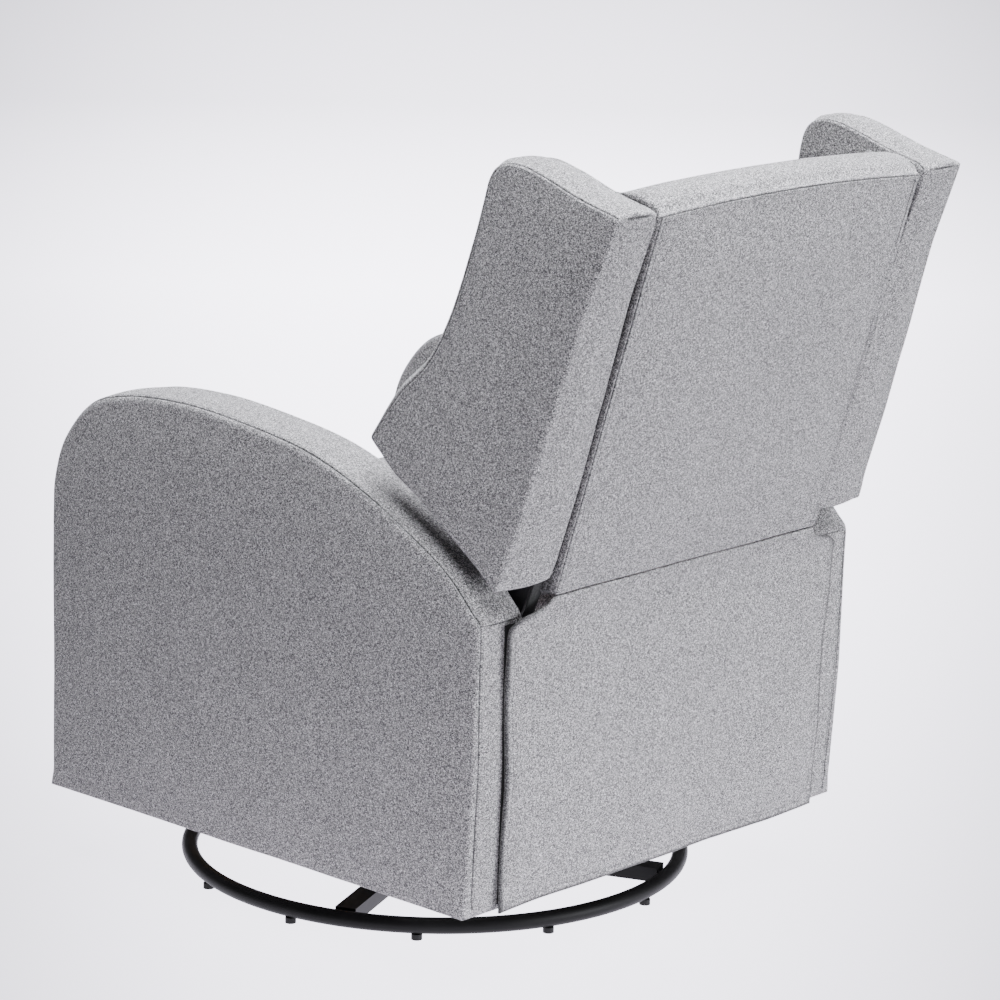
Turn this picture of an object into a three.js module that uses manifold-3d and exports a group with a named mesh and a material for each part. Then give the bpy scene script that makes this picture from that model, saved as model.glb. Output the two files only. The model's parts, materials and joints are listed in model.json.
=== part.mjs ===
// A wingback nursery chair that glides, swivels and reclines, with a fold-out footrest.
// Millimetres. +Z is up, +X is the sitter's left, and the sitter faces -Y.
// The origin is on the floor, under the middle of the chair's outer box.
import * as THREE from "three";
import { mergeVertices } from "three/addons/utils/BufferGeometryUtils.js";
import Module from "manifold-3d";

const wasm = await Module();
wasm.setup();

// ---- Driving dimensions ----
const GAP = 0.3; // between pieces that are welded, bolted or glued together
const HALF_WIDTH = 375;
const ARM_THICKNESS = 90;
const ARM_INNER = HALF_WIDTH - ARM_THICKNESS;
const ARM_BOTTOM = 101;

const BASE_Y = -104; // the swivel axis
const RING_RADIUS = 340;
const RING_TUBE = 11;
const RING_SIDES = 48;
const FOOT_HEIGHT = 8;
const FOOT_RADIUS = 7.5;
const FOOT_COUNT = 12;
const FIRST_FOOT = THREE.MathUtils.degToRad(-21);
const CROSSBAR_TURN = THREE.MathUtils.degToRad(22);
const CROSSBAR_WIDTH = 29;
const CROSSBAR_HEIGHT = 20;
const BASE_TOP = FOOT_HEIGHT + 2 * RING_TUBE;

const KINGPIN_RADIUS = 11;
const SWIVEL_PLATE_SIDE = 190;
const SWIVEL_PLATE = 4;
const LOWER_PLATE_Z = BASE_TOP + GAP;
const CAGE_Z = LOWER_PLATE_Z + SWIVEL_PLATE + GAP;
const CAGE_HEIGHT = 6;
const CAGE_RADIUS = 50;
const UPPER_PLATE_Z = CAGE_Z + CAGE_HEIGHT + GAP;
const CRADLE_Z = UPPER_PLATE_Z + SWIVEL_PLATE + GAP;

const GLIDE_TOP_Z = 205; // the pins that the glide links hang from
const GLIDE_LINK = 120;
const GLIDE_PIN_Z = GLIDE_TOP_Z - GLIDE_LINK;
const GLIDE_SPAN = 95; // each pair of glide pins is this far from the swivel axis
const GLIDE_ROD = 6;
const CRADLE_HALF_WIDTH = 100;
const CRADLE_SHEET = 3;
const GLIDE_LINK_X = [104, 109];

const SIDE_PLATE_X = [279.5, 284];
const CROSSMEMBER_HALF = 279;
const CROSSMEMBER_Z = [296, 326];
const CROSSMEMBER_SHEET = 3;
const RECLINE_Y = 236;
const RECLINE_Z = 400;
const RECLINE_PIN = 6;
const PIN_CLEARANCE = 0.9;

const SEAT_RAIL_X = [224, 250];
const SEAT_RAIL_Z = [329, 367];
const SEAT_FRAME_Y = [-425, 165];
const SEAT_RAIL_DEPTH = 30;
const SEAT_CUSHION_HALF = 282;
const SEAT_CUSHION_Y = [-475, 118];
const SEAT_CUSHION_Z = [372, 475];
const DROP_BRACKET_X = [246, 250];

const TONG_BAR = 230; // each bar of the footrest's lazy tongs
const TONG_FOLDED = THREE.MathUtils.degToRad(80);
const TONG_OPEN = THREE.MathUtils.degToRad(25);
const TONG_PIVOT_Y = -360;
const TONG_PIVOT_Z = 345;
const TONG_RADIUS = 9;
const TONG_PIN = 4;
const TONG_A_X = [256, 259];
const TONG_B_X = [261, 264];
const TORQUE_TUBE = 8;
const FOOTREST_FRONT = -488;
const FOOTREST_Z = [110, 366];

const BACK_LEAN = THREE.MathUtils.degToRad(18.2);
const BACK_BOTTOM_Y = 318; // the bottom of the backrest's frame
const BACK_BOTTOM_Z = 498;
const BACK_LENGTH = 528;
const BACK_HALF = [265, 260]; // of the outside panel, at its bottom and its top
const PANEL_BOTTOM = 12; // the panel starts this far up the back
const PANEL_SWELL = 12.3; // its padding is this much thicker at the bottom than at the top
const SEAM_Y = 335; // where the flap hangs from the panel's bottom edge
const SEAM_Z = 504.6;
const WING_THICKNESS = 76;
const WING_LEAN = Math.atan(0.05);
const WING_FOOT_X = 369;
const WING_FOOT_Z = 530;
const WING_REAR_LEAN = 0.344; // the wing's rear edge moves back by this much per unit of height
const WING_FLARE = 0.12; // the wing gets this much thinner per unit of distance from its rear edge

const COLOURS = {
  fabric: [0x9fa1a6, 0.95, 0],
  fabric_shade: [0x8d9096, 0.95, 0],
  black_steel: [0x141414, 0.45, 0.6],
  zinc_steel: [0x9a9c9e, 0.4, 0.9],
  rubber: [0x101010, 0.85, 0],
  plywood: [0xb58e5c, 0.7, 0],
  spring_steel: [0x55585c, 0.35, 0.9],
  plastic: [0x1b1c1e, 0.5, 0],
};

// ---- Making solids ----
const chair = new THREE.Group();

function material(name) {
  const [color, roughness, metalness] = COLOURS[name];
  return new THREE.MeshStandardMaterial({ color, roughness, metalness });
}

function addPart(name, geometry, look, group = chair) {
  const mesh = new THREE.Mesh(geometry, material(look));
  mesh.name = name;
  group.add(mesh);
  return mesh;
}

function toSolid(geometry) {
  const bare = geometry.clone();
  bare.deleteAttribute("normal");
  bare.deleteAttribute("uv");
  const merged = mergeVertices(bare, 1e-4);
  return new wasm.Manifold(
    new wasm.Mesh({
      numProp: 3,
      vertProperties: new Float32Array(merged.attributes.position.array),
      triVerts: new Uint32Array(merged.index.array),
    }),
  );
}

function toGeometry(solid) {
  const mesh = solid.getMesh();
  const geometry = new THREE.BufferGeometry();
  geometry.setAttribute("position", new THREE.BufferAttribute(mesh.vertProperties, 3));
  geometry.setIndex(new THREE.BufferAttribute(mesh.triVerts, 1));
  geometry.computeVertexNormals();
  return geometry;
}

function joined(...geometries) {
  return toGeometry(geometries.map(toSolid).reduce((a, b) => a.add(b)));
}

function cut(body, ...tools) {
  return toGeometry(tools.map(toSolid).reduce((a, b) => a.subtract(b), toSolid(body)));
}

function box(x, y, z) {
  const geometry = new THREE.BoxGeometry(x[1] - x[0], y[1] - y[0], z[1] - z[0]);
  return geometry.translate((x[0] + x[1]) / 2, (y[0] + y[1]) / 2, (z[0] + z[1]) / 2);
}

// The range [low, high] on the sitter's left (side 1), or its mirror image (side -1).
function onSide(side, [low, high]) {
  return side > 0 ? [low, high] : [-high, -low];
}

function rodX(radius, x, y, z, sides = 16) {
  const geometry = new THREE.CylinderGeometry(radius, radius, x[1] - x[0], sides);
  return geometry.rotateZ(Math.PI / 2).translate((x[0] + x[1]) / 2, y, z);
}

function rodZ(radius, z, x = 0, y = 0, sides = 24) {
  const geometry = new THREE.CylinderGeometry(radius, radius, z[1] - z[0], sides);
  return geometry.rotateX(Math.PI / 2).translate(x, y, (z[0] + z[1]) / 2);
}

// A flat outline pushed from along[0] to along[1], with its edges rounded by `round`.
function pushed(shape, along, round, curveSegments) {
  const depth = along[1] - along[0] - 2 * round;
  const geometry = new THREE.ExtrudeGeometry(shape, {
    depth,
    curveSegments,
    bevelEnabled: round > 0,
    bevelThickness: round,
    bevelSize: round,
    bevelOffset: -round,
    bevelSegments: 2,
  });
  return geometry.translate(0, 0, along[0] + round);
}

const X_AXIS = new THREE.Vector3(1, 0, 0);
const Y_AXIS = new THREE.Vector3(0, 1, 0);
const Z_AXIS = new THREE.Vector3(0, 0, 1);

// An outline drawn in (Y, Z), pushed along X.
function alongX(shape, x, round = 0, curveSegments = 8) {
  const turn = new THREE.Matrix4().makeBasis(Y_AXIS, Z_AXIS, X_AXIS);
  return pushed(shape, x, round, curveSegments).applyMatrix4(turn);
}

// An outline drawn in (X, Z), pushed along Y.
function alongY(shape, y, round = 0, curveSegments = 8) {
  const turn = new THREE.Matrix4().makeBasis(X_AXIS, Z_AXIS, Y_AXIS.clone().negate());
  return pushed(shape, [-y[1], -y[0]], round, curveSegments).applyMatrix4(turn);
}

function polygon(points) {
  return new THREE.Shape(points.map(([a, b]) => new THREE.Vector2(a, b)));
}

function vectors(points) {
  return points.map(([a, b]) => new THREE.Vector2(a, b));
}

function hole(a, b, radius) {
  return new THREE.Path().absarc(a, b, radius, 0, 2 * Math.PI, true);
}

// A bar with round ends from one point to another.
function barShape([ya, za], [yb, zb], radius) {
  const angle = Math.atan2(zb - za, yb - ya);
  const shape = new THREE.Shape();
  shape.absarc(yb, zb, radius, angle - Math.PI / 2, angle + Math.PI / 2);
  shape.absarc(ya, za, radius, angle + Math.PI / 2, angle + 1.5 * Math.PI);
  shape.closePath();
  return shape;
}

// ---- The floor base: a tube ring on rubber feet, with two half-lapped crossbars ----
const base = new THREE.Group();
base.position.set(0, BASE_Y, 0);
chair.add(base);

function makeRing() {
  const ring = new THREE.TorusGeometry(RING_RADIUS, RING_TUBE, 8, RING_SIDES);
  addPart("base_ring", ring.translate(0, 0, FOOT_HEIGHT + RING_TUBE), "black_steel", base);
}

function makeCrossbars() {
  const half = (RING_RADIUS - RING_TUBE) * Math.cos(Math.PI / RING_SIDES) - GAP;
  const z = [BASE_TOP - CROSSBAR_HEIGHT, BASE_TOP];
  const middle = (z[0] + z[1]) / 2;
  const width = [-CROSSBAR_WIDTH / 2, CROSSBAR_WIDTH / 2];
  const lap = [width[0] - GAP, width[1] + GAP];
  const barA = cut(box([-half, half], width, z), box(lap, [-20, 20], [middle, z[1] + 1]));
  const barB = cut(box(width, [-half, half], z), box([-20, 20], lap, [z[0] - 1, middle + GAP]));
  addPart("base_crossbar_a", barA, "black_steel", base).rotation.z = CROSSBAR_TURN;
  addPart("base_crossbar_b", barB, "black_steel", base).rotation.z = CROSSBAR_TURN;
}

function makeFeet() {
  for (let i = 0; i < FOOT_COUNT; i += 1) {
    const angle = FIRST_FOOT + (i * 2 * Math.PI) / FOOT_COUNT;
    const foot = rodZ(FOOT_RADIUS, [0, FOOT_HEIGHT - GAP], 0, 0, 12);
    const mesh = addPart(`ring_foot_${String(i + 1).padStart(2, "0")}`, foot, "rubber", base);
    mesh.position.set(RING_RADIUS * Math.cos(angle), RING_RADIUS * Math.sin(angle), 0);
  }
}

// ---- The swivel bearing: two plates, a ball cage between them, and a headed kingpin ----
function plateWithHole(z, holeRadius) {
  const half = SWIVEL_PLATE_SIDE / 2;
  const outline = polygon([[-half, -half], [half, -half], [half, half], [-half, half]]);
  outline.holes.push(hole(0, 0, holeRadius));
  return pushed(outline, z, 0, 12);
}

function makeSwivel() {
  const bore = KINGPIN_RADIUS + PIN_CLEARANCE;
  const lower = plateWithHole([LOWER_PLATE_Z, LOWER_PLATE_Z + SWIVEL_PLATE], bore);
  addPart("swivel_lower_plate", lower, "zinc_steel", base);
  const upper = plateWithHole([UPPER_PLATE_Z, UPPER_PLATE_Z + SWIVEL_PLATE], bore);
  addPart("swivel_upper_plate", upper, "zinc_steel", base);

  const cage = [
    [CAGE_RADIUS - 9, CAGE_Z],
    [CAGE_RADIUS + 9, CAGE_Z],
    [CAGE_RADIUS + 9, CAGE_Z + CAGE_HEIGHT],
    [CAGE_RADIUS - 9, CAGE_Z + CAGE_HEIGHT],
    [CAGE_RADIUS - 9, CAGE_Z],
  ];
  const ring = new THREE.LatheGeometry(vectors(cage), 32).rotateX(Math.PI / 2);
  addPart("swivel_ball_cage", ring, "plastic", base);

  const headZ = CRADLE_Z + CRADLE_SHEET + 1;
  const shank = rodZ(KINGPIN_RADIUS, [LOWER_PLATE_Z, headZ + 5]);
  const head = rodZ(KINGPIN_RADIUS + 7, [headZ, headZ + 5]);
  addPart("swivel_kingpin", joined(shank, head), "zinc_steel", base);
}

// ---- The glide cradle: a pressed channel whose two ears carry the upper glide rods ----
function makeCradle() {
  const ear = new THREE.Shape();
  ear.moveTo(-42, CRADLE_Z);
  ear.lineTo(42, CRADLE_Z);
  ear.lineTo(42, GLIDE_TOP_Z - 50);
  ear.lineTo(GLIDE_SPAN + 4, GLIDE_TOP_Z - 14);
  ear.absarc(GLIDE_SPAN, GLIDE_TOP_Z, 14, -Math.PI / 2, Math.PI / 2);
  ear.absarc(-GLIDE_SPAN, GLIDE_TOP_Z, 14, Math.PI / 2, 1.5 * Math.PI);
  ear.lineTo(-42, GLIDE_TOP_Z - 50);
  ear.closePath();
  for (const end of [-1, 1]) {
    ear.holes.push(hole(end * GLIDE_SPAN, GLIDE_TOP_Z, GLIDE_ROD + PIN_CLEARANCE));
  }
  const sheet = [CRADLE_HALF_WIDTH - CRADLE_SHEET, CRADLE_HALF_WIDTH];
  const floor = box([-sheet[1], sheet[1]], [-85, 85], [CRADLE_Z, CRADLE_Z + CRADLE_SHEET]);
  const bore = rodZ(KINGPIN_RADIUS + PIN_CLEARANCE, [CRADLE_Z - 5, CRADLE_Z + 9]);
  const ears = [-1, 1].map((side) => alongX(ear, onSide(side, sheet)));
  addPart("glide_cradle", cut(joined(floor, ...ears), bore), "black_steel", base);

  const rodEnd = GLIDE_LINK_X[1] + 5;
  for (const [end, place] of [[-1, "front"], [1, "rear"]]) {
    const rod = rodX(GLIDE_ROD, [-rodEnd, rodEnd], end * GLIDE_SPAN, GLIDE_TOP_Z);
    addPart(`glide_axle_${place}`, rod, "zinc_steel", base);
  }
}

function makeGlideLinks() {
  for (const [end, place] of [[-1, "front"], [1, "rear"]]) {
    for (const [side, hand] of [[-1, "right"], [1, "left"]]) {
      const y = end * GLIDE_SPAN;
      const link = barShape([y, GLIDE_TOP_Z], [y, GLIDE_PIN_Z], 14);
      link.holes.push(hole(y, GLIDE_TOP_Z, GLIDE_ROD + PIN_CLEARANCE));
      link.holes.push(hole(y, GLIDE_PIN_Z, GLIDE_ROD + PIN_CLEARANCE));
      const plate = alongX(link, onSide(side, GLIDE_LINK_X));
      addPart(`glide_link_${place}_${hand}`, plate, "black_steel", base);
    }
  }
}

// ---- The chassis: side plates, hanger rods and crossmembers ----
function makeSidePlates() {
  const outline = polygon([
    [-225, GLIDE_PIN_Z - 12],
    [12, GLIDE_PIN_Z - 12],
    [120, 200],
    [RECLINE_Y + 24, RECLINE_Z - 34],
    [RECLINE_Y + 24, RECLINE_Z + 10],
    [RECLINE_Y + 10, RECLINE_Z + 24],
    [RECLINE_Y - 10, RECLINE_Z + 24],
    [RECLINE_Y - 24, RECLINE_Z + 10],
    [150, 335],
    [-335, 335],
    [-335, 290],
  ]);
  for (const end of [-1, 1]) {
    outline.holes.push(hole(BASE_Y + end * GLIDE_SPAN, GLIDE_PIN_Z, GLIDE_ROD + PIN_CLEARANCE));
  }
  outline.holes.push(hole(RECLINE_Y, RECLINE_Z, RECLINE_PIN + PIN_CLEARANCE));
  for (const [side, hand] of [[-1, "right"], [1, "left"]]) {
    const plate = alongX(outline, onSide(side, SIDE_PLATE_X));
    addPart(`side_plate_${hand}`, plate, "black_steel");
  }
}

function makeChassisBars() {
  const rodHalf = SIDE_PLATE_X[1];
  for (const [end, place] of [[-1, "front"], [1, "rear"]]) {
    const y = BASE_Y + end * GLIDE_SPAN;
    addPart(`hanger_axle_${place}`, rodX(GLIDE_ROD, [-rodHalf, rodHalf], y, GLIDE_PIN_Z), "zinc_steel");
  }
  const x = [-CROSSMEMBER_HALF, CROSSMEMBER_HALF];
  const [low, high] = CROSSMEMBER_Z;
  for (const [place, y] of [["front", [-330, -300]], ["rear", [146, 176]]]) {
    const top = box(x, y, [high - CROSSMEMBER_SHEET, high]);
    const web = box(x, [y[0], y[0] + CROSSMEMBER_SHEET], [low, high]);
    addPart(`${place}_crossmember`, joined(top, web), "black_steel");
  }
}

// ---- The arms: a plywood frame inside a padded cover that is open at its bottom ----
function armShape() {
  const shape = new THREE.Shape();
  shape.moveTo(-480, ARM_BOTTOM);
  shape.lineTo(286, ARM_BOTTOM);
  shape.lineTo(302, 290);
  shape.lineTo(306, 487);
  shape.splineThru(vectors([
    [254, 536], [188, 576], [105, 618], [9, 652], [-106, 670], [-222, 679],
    [-330, 672], [-400, 650], [-452, 595], [-473, 536], [-477, 480],
  ]));
  shape.closePath();
  return shape;
}

function armFrameShape() {
  const shape = new THREE.Shape();
  shape.moveTo(-440, ARM_BOTTOM + 3);
  shape.lineTo(250, ARM_BOTTOM + 3);
  shape.lineTo(258, 460);
  shape.splineThru(vectors([[120, 550], [-60, 600], [-230, 616], [-360, 590], [-430, 500]]));
  shape.closePath();
  return shape;
}

const LEVER_Y = -150;
const LEVER_Z = 455;
const BEZEL_LENGTH = 150;
const BEZEL_HEIGHT = 80;
const ARM_POCKET_X = [306, 351];
const ARM_FRAME_X = [308, 340];

// A rounded slot outline in (Y, Z) around the release lever, grown by `grow` all round.
function leverSlot(grow) {
  const reach = (BEZEL_LENGTH - BEZEL_HEIGHT) / 2;
  const radius = BEZEL_HEIGHT / 2 + grow;
  return barShape([LEVER_Y - reach, LEVER_Z], [LEVER_Y + reach, LEVER_Z], radius);
}

function makeArms() {
  const pocket = new THREE.Shape();
  pocket.moveTo(-443, ARM_BOTTOM - 5);
  pocket.lineTo(253, ARM_BOTTOM - 5);
  pocket.lineTo(261, 462);
  pocket.splineThru(vectors([[121, 553], [-59, 603.5], [-230, 619.5], [-363, 593], [-433, 502]]));
  pocket.closePath();
  for (const [side, hand] of [[-1, "right"], [1, "left"]]) {
    const outer = alongX(armShape(), onSide(side, [ARM_INNER, HALF_WIDTH]), 8, 3);
    const hollow = alongX(pocket, onSide(side, ARM_POCKET_X), 0, 2);
    const cupHole = alongX(leverSlot(GAP), [-HALF_WIDTH - 5, -ARM_POCKET_X[1] + 5], 0, 8);
    const pad = side > 0 ? cut(outer, hollow) : cut(outer, hollow, cupHole);
    addPart(`arm_pad_${hand}`, pad, "fabric");
    const panel = alongX(armFrameShape(), onSide(side, ARM_FRAME_X), 0, 2);
    addPart(`arm_frame_${hand}`, panel, "plywood");
  }
}

// ---- The release: a recessed cup on the sitter's right, its paddle and its cable ----
const CUP_DEPTH = 25;
const CUP_WALL = 2.5;
const LEVER_PIVOT = [-366, LEVER_Z + 24];

function makeRelease() {
  const outer = -HALF_WIDTH - 1.8;
  const flange = alongX(leverSlot(5), [outer, -HALF_WIDTH - GAP]);
  const cup = alongX(leverSlot(0), [outer, outer + CUP_DEPTH]);
  const inside = alongX(leverSlot(-CUP_WALL), [outer - 5, outer + CUP_DEPTH - CUP_WALL]);
  addPart("release_bezel", cut(joined(flange, cup), inside), "plastic");

  const half = 48;
  const [pivotX, pivotZ] = LEVER_PIVOT;
  const profile = new THREE.Shape();
  profile.moveTo(pivotX - 9, pivotZ - 34);
  profile.lineTo(pivotX - 4, pivotZ - 36);
  profile.lineTo(pivotX - 4, pivotZ - 4);
  profile.absarc(pivotX, pivotZ, 5, -Math.PI / 2, Math.PI / 2);
  profile.lineTo(pivotX - 9, pivotZ + 5);
  profile.closePath();
  addPart("release_lever", alongY(profile, [LEVER_Y - half, LEVER_Y + half]), "plastic");
}

function makeCable() {
  const radius = 2.5;
  const start = new THREE.Vector3(-346, LEVER_Y, LEVER_Z);
  const route = new THREE.CatmullRomCurve3([
    start,
    new THREE.Vector3(-346, LEVER_Y + 4, 330),
    new THREE.Vector3(-346, -80, 200),
    new THREE.Vector3(-346, 10, 118),
    new THREE.Vector3(-338, 40, 93),
    new THREE.Vector3(-310, 60, 90),
    new THREE.Vector3(-280, 72, 92),
    new THREE.Vector3(-266, 84, 112),
    new THREE.Vector3(-264, 104, 200),
    new THREE.Vector3(-262, 126, 280),
    new THREE.Vector3(-262, 141, 312),
  ]);
  const section = new THREE.Shape();
  section.absarc(0, 0, radius, 0, 2 * Math.PI);
  const cable = new THREE.ExtrudeGeometry(section, { steps: 40, curveSegments: 4, extrudePath: route });
  addPart("release_cable", cable, "plastic");
}

// ---- The seat: a plywood frame with drop brackets, a sinuous spring deck and a cushion ----
function makeSeatFrame() {
  const [inner, outer] = SEAT_RAIL_X;
  const [front, rear] = SEAT_FRAME_Y;
  const z = SEAT_RAIL_Z;
  const whole = box([-outer, outer], [front, rear], z);
  const window = box([-inner, inner], [front + SEAT_RAIL_DEPTH, rear - SEAT_RAIL_DEPTH], [z[0] - 5, z[1] + 5]);
  const frame = cut(whole, window);
  const slotTop = TONG_PIVOT_Z - TONG_BAR * Math.sin(TONG_OPEN);
  const slotLow = TONG_PIVOT_Z - TONG_BAR * Math.sin(TONG_FOLDED);
  const additions = [];
  const slots = [];
  for (const side of [-1, 1]) {
    const x = onSide(side, DROP_BRACKET_X);
    const y = [TONG_PIVOT_Y - 10, TONG_PIVOT_Y + 10];
    additions.push(box(x, y, [slotLow - 14, z[0] + 10]));
    const pin = onSide(side, [outer - 6, TONG_A_X[1] + 1.5]);
    additions.push(rodX(TONG_PIN, pin, TONG_PIVOT_Y, TONG_PIVOT_Z));
    const slot = barShape([TONG_PIVOT_Y, slotLow], [TONG_PIVOT_Y, slotTop], TONG_PIN + PIN_CLEARANCE);
    slots.push(alongX(slot, onSide(side, [outer - 20, outer + 5])));
  }
  addPart("seat_frame", cut(joined(frame, ...additions), ...slots), "plywood");
}

function makeSpringDeck() {
  const wire = 2;
  const z = 351;
  const reach = SEAT_RAIL_X[0] - 1;
  const y = [SEAT_FRAME_Y[0] + SEAT_RAIL_DEPTH + 1, SEAT_FRAME_Y[1] - SEAT_RAIL_DEPTH - 1];
  const section = new THREE.Shape();
  section.absarc(0, 0, wire, 0, 2 * Math.PI);
  const pieces = [
    box([-reach, reach], [y[0], y[0] + 8], [z - 4, z + 4]),
    box([-reach, reach], [y[1] - 8, y[1]], [z - 4, z + 4]),
  ];
  const springs = 5;
  const waves = 9;
  for (let i = 0; i < springs; i += 1) {
    const x = -reach + ((i + 0.5) * 2 * reach) / springs;
    const points = [];
    for (let k = 0; k <= 2 * waves; k += 1) {
      const swing = k === 0 || k === 2 * waves ? 0 : 22 * (k % 2 ? 1 : -1);
      points.push(new THREE.Vector3(x + swing, y[0] + 5 + (k * (y[1] - y[0] - 10)) / (2 * waves), z));
    }
    const path = new THREE.CatmullRomCurve3(points, false, "centripetal");
    pieces.push(new THREE.ExtrudeGeometry(section, { steps: 3 * waves, curveSegments: 3, extrudePath: path }));
  }
  addPart("seat_spring_deck", joined(...pieces), "spring_steel");
}

function makeSeatCushion() {
  const [front, rear] = SEAT_CUSHION_Y;
  const [low, high] = SEAT_CUSHION_Z;
  const shape = new THREE.Shape();
  shape.moveTo(rear, low);
  shape.lineTo(rear, high);
  shape.lineTo(front + 40, high);
  shape.absarc(front + 40, high - 40, 40, Math.PI / 2, Math.PI);
  shape.lineTo(front, low);
  shape.closePath();
  const cushion = alongX(shape, [-SEAT_CUSHION_HALF, SEAT_CUSHION_HALF], 6, 3);
  addPart("seat_cushion", cushion, "fabric");
}

// ---- The footrest: lazy tongs on each side, tied by a torque tube, and a padded board ----
const TONG_RUN = TONG_BAR * Math.cos(TONG_FOLDED);
const TONG_DROP = TONG_BAR * Math.sin(TONG_FOLDED);

// A point of the folded tongs: `stage` bars forward, at the top, the middle or the bottom.
function tongPoint(stage, height) {
  return [TONG_PIVOT_Y - stage * TONG_RUN, TONG_PIVOT_Z - TONG_DROP * (1 - height)];
}

const TONGS = {
  seatPivot: tongPoint(0, 1),
  seatSlot: tongPoint(0, 0),
  firstCross: tongPoint(0.5, 0.5),
  topKnee: tongPoint(1, 1),
  lowKnee: tongPoint(1, 0),
  secondCross: tongPoint(1.5, 0.5),
  boardPivot: tongPoint(2, 1),
};

function tongPlate(side, x, from, to, holes) {
  const shape = barShape(from, to, TONG_RADIUS);
  for (const [y, z] of holes) {
    shape.holes.push(hole(y, z, TONG_PIN + PIN_CLEARANCE));
  }
  return alongX(shape, onSide(side, x), 0, 4);
}

function tongPin(side, x, [y, z]) {
  return rodX(TONG_PIN, onSide(side, x), y, z, 12);
}

function makeTongs() {
  const { seatPivot, seatSlot, firstCross, topKnee, lowKnee, secondCross, boardPivot } = TONGS;
  const through = [TONG_A_X[0] + 1, TONG_B_X[1] + 2];
  const driveParts = [rodX(TORQUE_TUBE, [-TONG_A_X[0] - 1, TONG_A_X[0] + 1], ...firstCross)];
  for (const [side, hand] of [[-1, "right"], [1, "left"]]) {
    driveParts.push(tongPlate(side, TONG_A_X, seatPivot, lowKnee, [seatPivot]));
    driveParts.push(tongPin(side, through, firstCross));
    driveParts.push(tongPin(side, through, lowKnee));

    const barB = tongPlate(side, TONG_B_X, seatSlot, topKnee, [firstCross, topKnee]);
    const slider = tongPin(side, [DROP_BRACKET_X[0] - 1, TONG_B_X[1] - 1], seatSlot);
    addPart(`footrest_first_bar_${hand}`, joined(barB, slider), "black_steel");

    const stub = tongPlate(side, TONG_A_X, topKnee, secondCross, []);
    const pins = [topKnee, secondCross].map((point) => tongPin(side, through, point));
    addPart(`footrest_control_bar_${hand}`, joined(stub, ...pins), "black_steel");

    const holes = [lowKnee, secondCross, boardPivot];
    const reachBar = tongPlate(side, TONG_B_X, lowKnee, boardPivot, holes);
    addPart(`footrest_reach_bar_${hand}`, reachBar, "black_steel");
  }
  addPart("footrest_drive_frame", joined(...driveParts), "black_steel");
}

function makeFootrest() {
  const [low, high] = FOOTREST_Z;
  const half = SEAT_RAIL_X[1];
  const [pivotY, pivotZ] = TONGS.boardPivot;
  const rear = pivotY;
  const board = box([-half, half], [rear - 15, rear], [low + 4, high - 4]);
  const ears = [];
  for (const side of [-1, 1]) {
    const ear = onSide(side, [half - 6, half + 4]);
    ears.push(box(ear, [rear - 14, rear + 9], [pivotZ - 12, pivotZ + 9]));
    ears.push(tongPin(side, [half + 2, TONG_B_X[1] + 2], [pivotY, pivotZ]));
  }
  addPart("footrest_board", joined(board, ...ears), "plywood");

  const shape = polygon([
    [FOOTREST_FRONT, low],
    [rear - 16, low],
    [rear - 16, high],
    [FOOTREST_FRONT, high],
  ]);
  addPart("footrest_pad", alongX(shape, [-281, 281], 6), "fabric");
}

// ---- The backrest: drawn upright and turned about the bottom seam to its lean ----
const back = new THREE.Group();
back.position.set(0, BACK_BOTTOM_Y, BACK_BOTTOM_Z);
back.rotation.x = -BACK_LEAN;
chair.add(back);

// A trapezium in (X, up the back), given its half-widths and heights at bottom and top.
function trapezium(bottomHalf, topHalf, low, high) {
  return [[-bottomHalf, low], [bottomHalf, low], [topHalf, high], [-topHalf, high]];
}

function makeBackFrame() {
  const frame = polygon(trapezium(270, 255, 6, 512));
  frame.holes.push(new THREE.Path(vectors(trapezium(232, 217, 44, 470)).reverse()));
  addPart("backrest_frame", alongY(frame, [-34, -10]), "plywood", back);

  const [bottom, top] = BACK_HALF;
  const panel = new THREE.Shape();
  panel.moveTo(-bottom, PANEL_BOTTOM);
  panel.lineTo(bottom, PANEL_BOTTOM);
  panel.lineTo(top, BACK_LENGTH - 4);
  panel.quadraticCurveTo(0, BACK_LENGTH + 14, -top, BACK_LENGTH - 4);
  panel.closePath();
  const padding = alongY(panel, [-9.5, 0], 2);
  const place = padding.attributes.position;
  for (let i = 0; i < place.count; i += 1) {
    if (place.getY(i) > -5) {
      const down = 1 - (place.getZ(i) - PANEL_BOTTOM) / (BACK_LENGTH - PANEL_BOTTOM);
      place.setY(i, place.getY(i) + PANEL_SWELL * Math.max(0, down));
    }
  }
  addPart("outside_back_panel", padding, "fabric", back);
}

function makeBackCushion() {
  const shape = new THREE.Shape();
  shape.moveTo(272, 487);
  shape.lineTo(112, 487);
  shape.splineThru(vectors([
    [98, 540], [108, 610], [148, 690], [206, 760], [252, 820], [290, 890], [322, 965], [350, 1008],
  ]));
  shape.splineThru(vectors([[385, 1028], [440, 1029], [474, 1010]]));
  shape.lineTo(465, 994);
  shape.lineTo(443, 1000);
  shape.closePath();
  addPart("back_cushion", alongX(shape, [-262, 262], 3, 3), "fabric");
}

function makeBackBrackets() {
  for (const [side, hand] of [[-1, "right"], [1, "left"]]) {
    const strap = barShape([RECLINE_Y, RECLINE_Z], [318, 600], 20);
    const plate = alongX(strap, onSide(side, [272, 276.5]), 0, 6);
    const pin = rodX(RECLINE_PIN, onSide(side, [274, SIDE_PLATE_X[1]]), RECLINE_Y, RECLINE_Z);
    addPart(`back_bracket_${hand}`, joined(plate, pin), "black_steel");
  }
}

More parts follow.
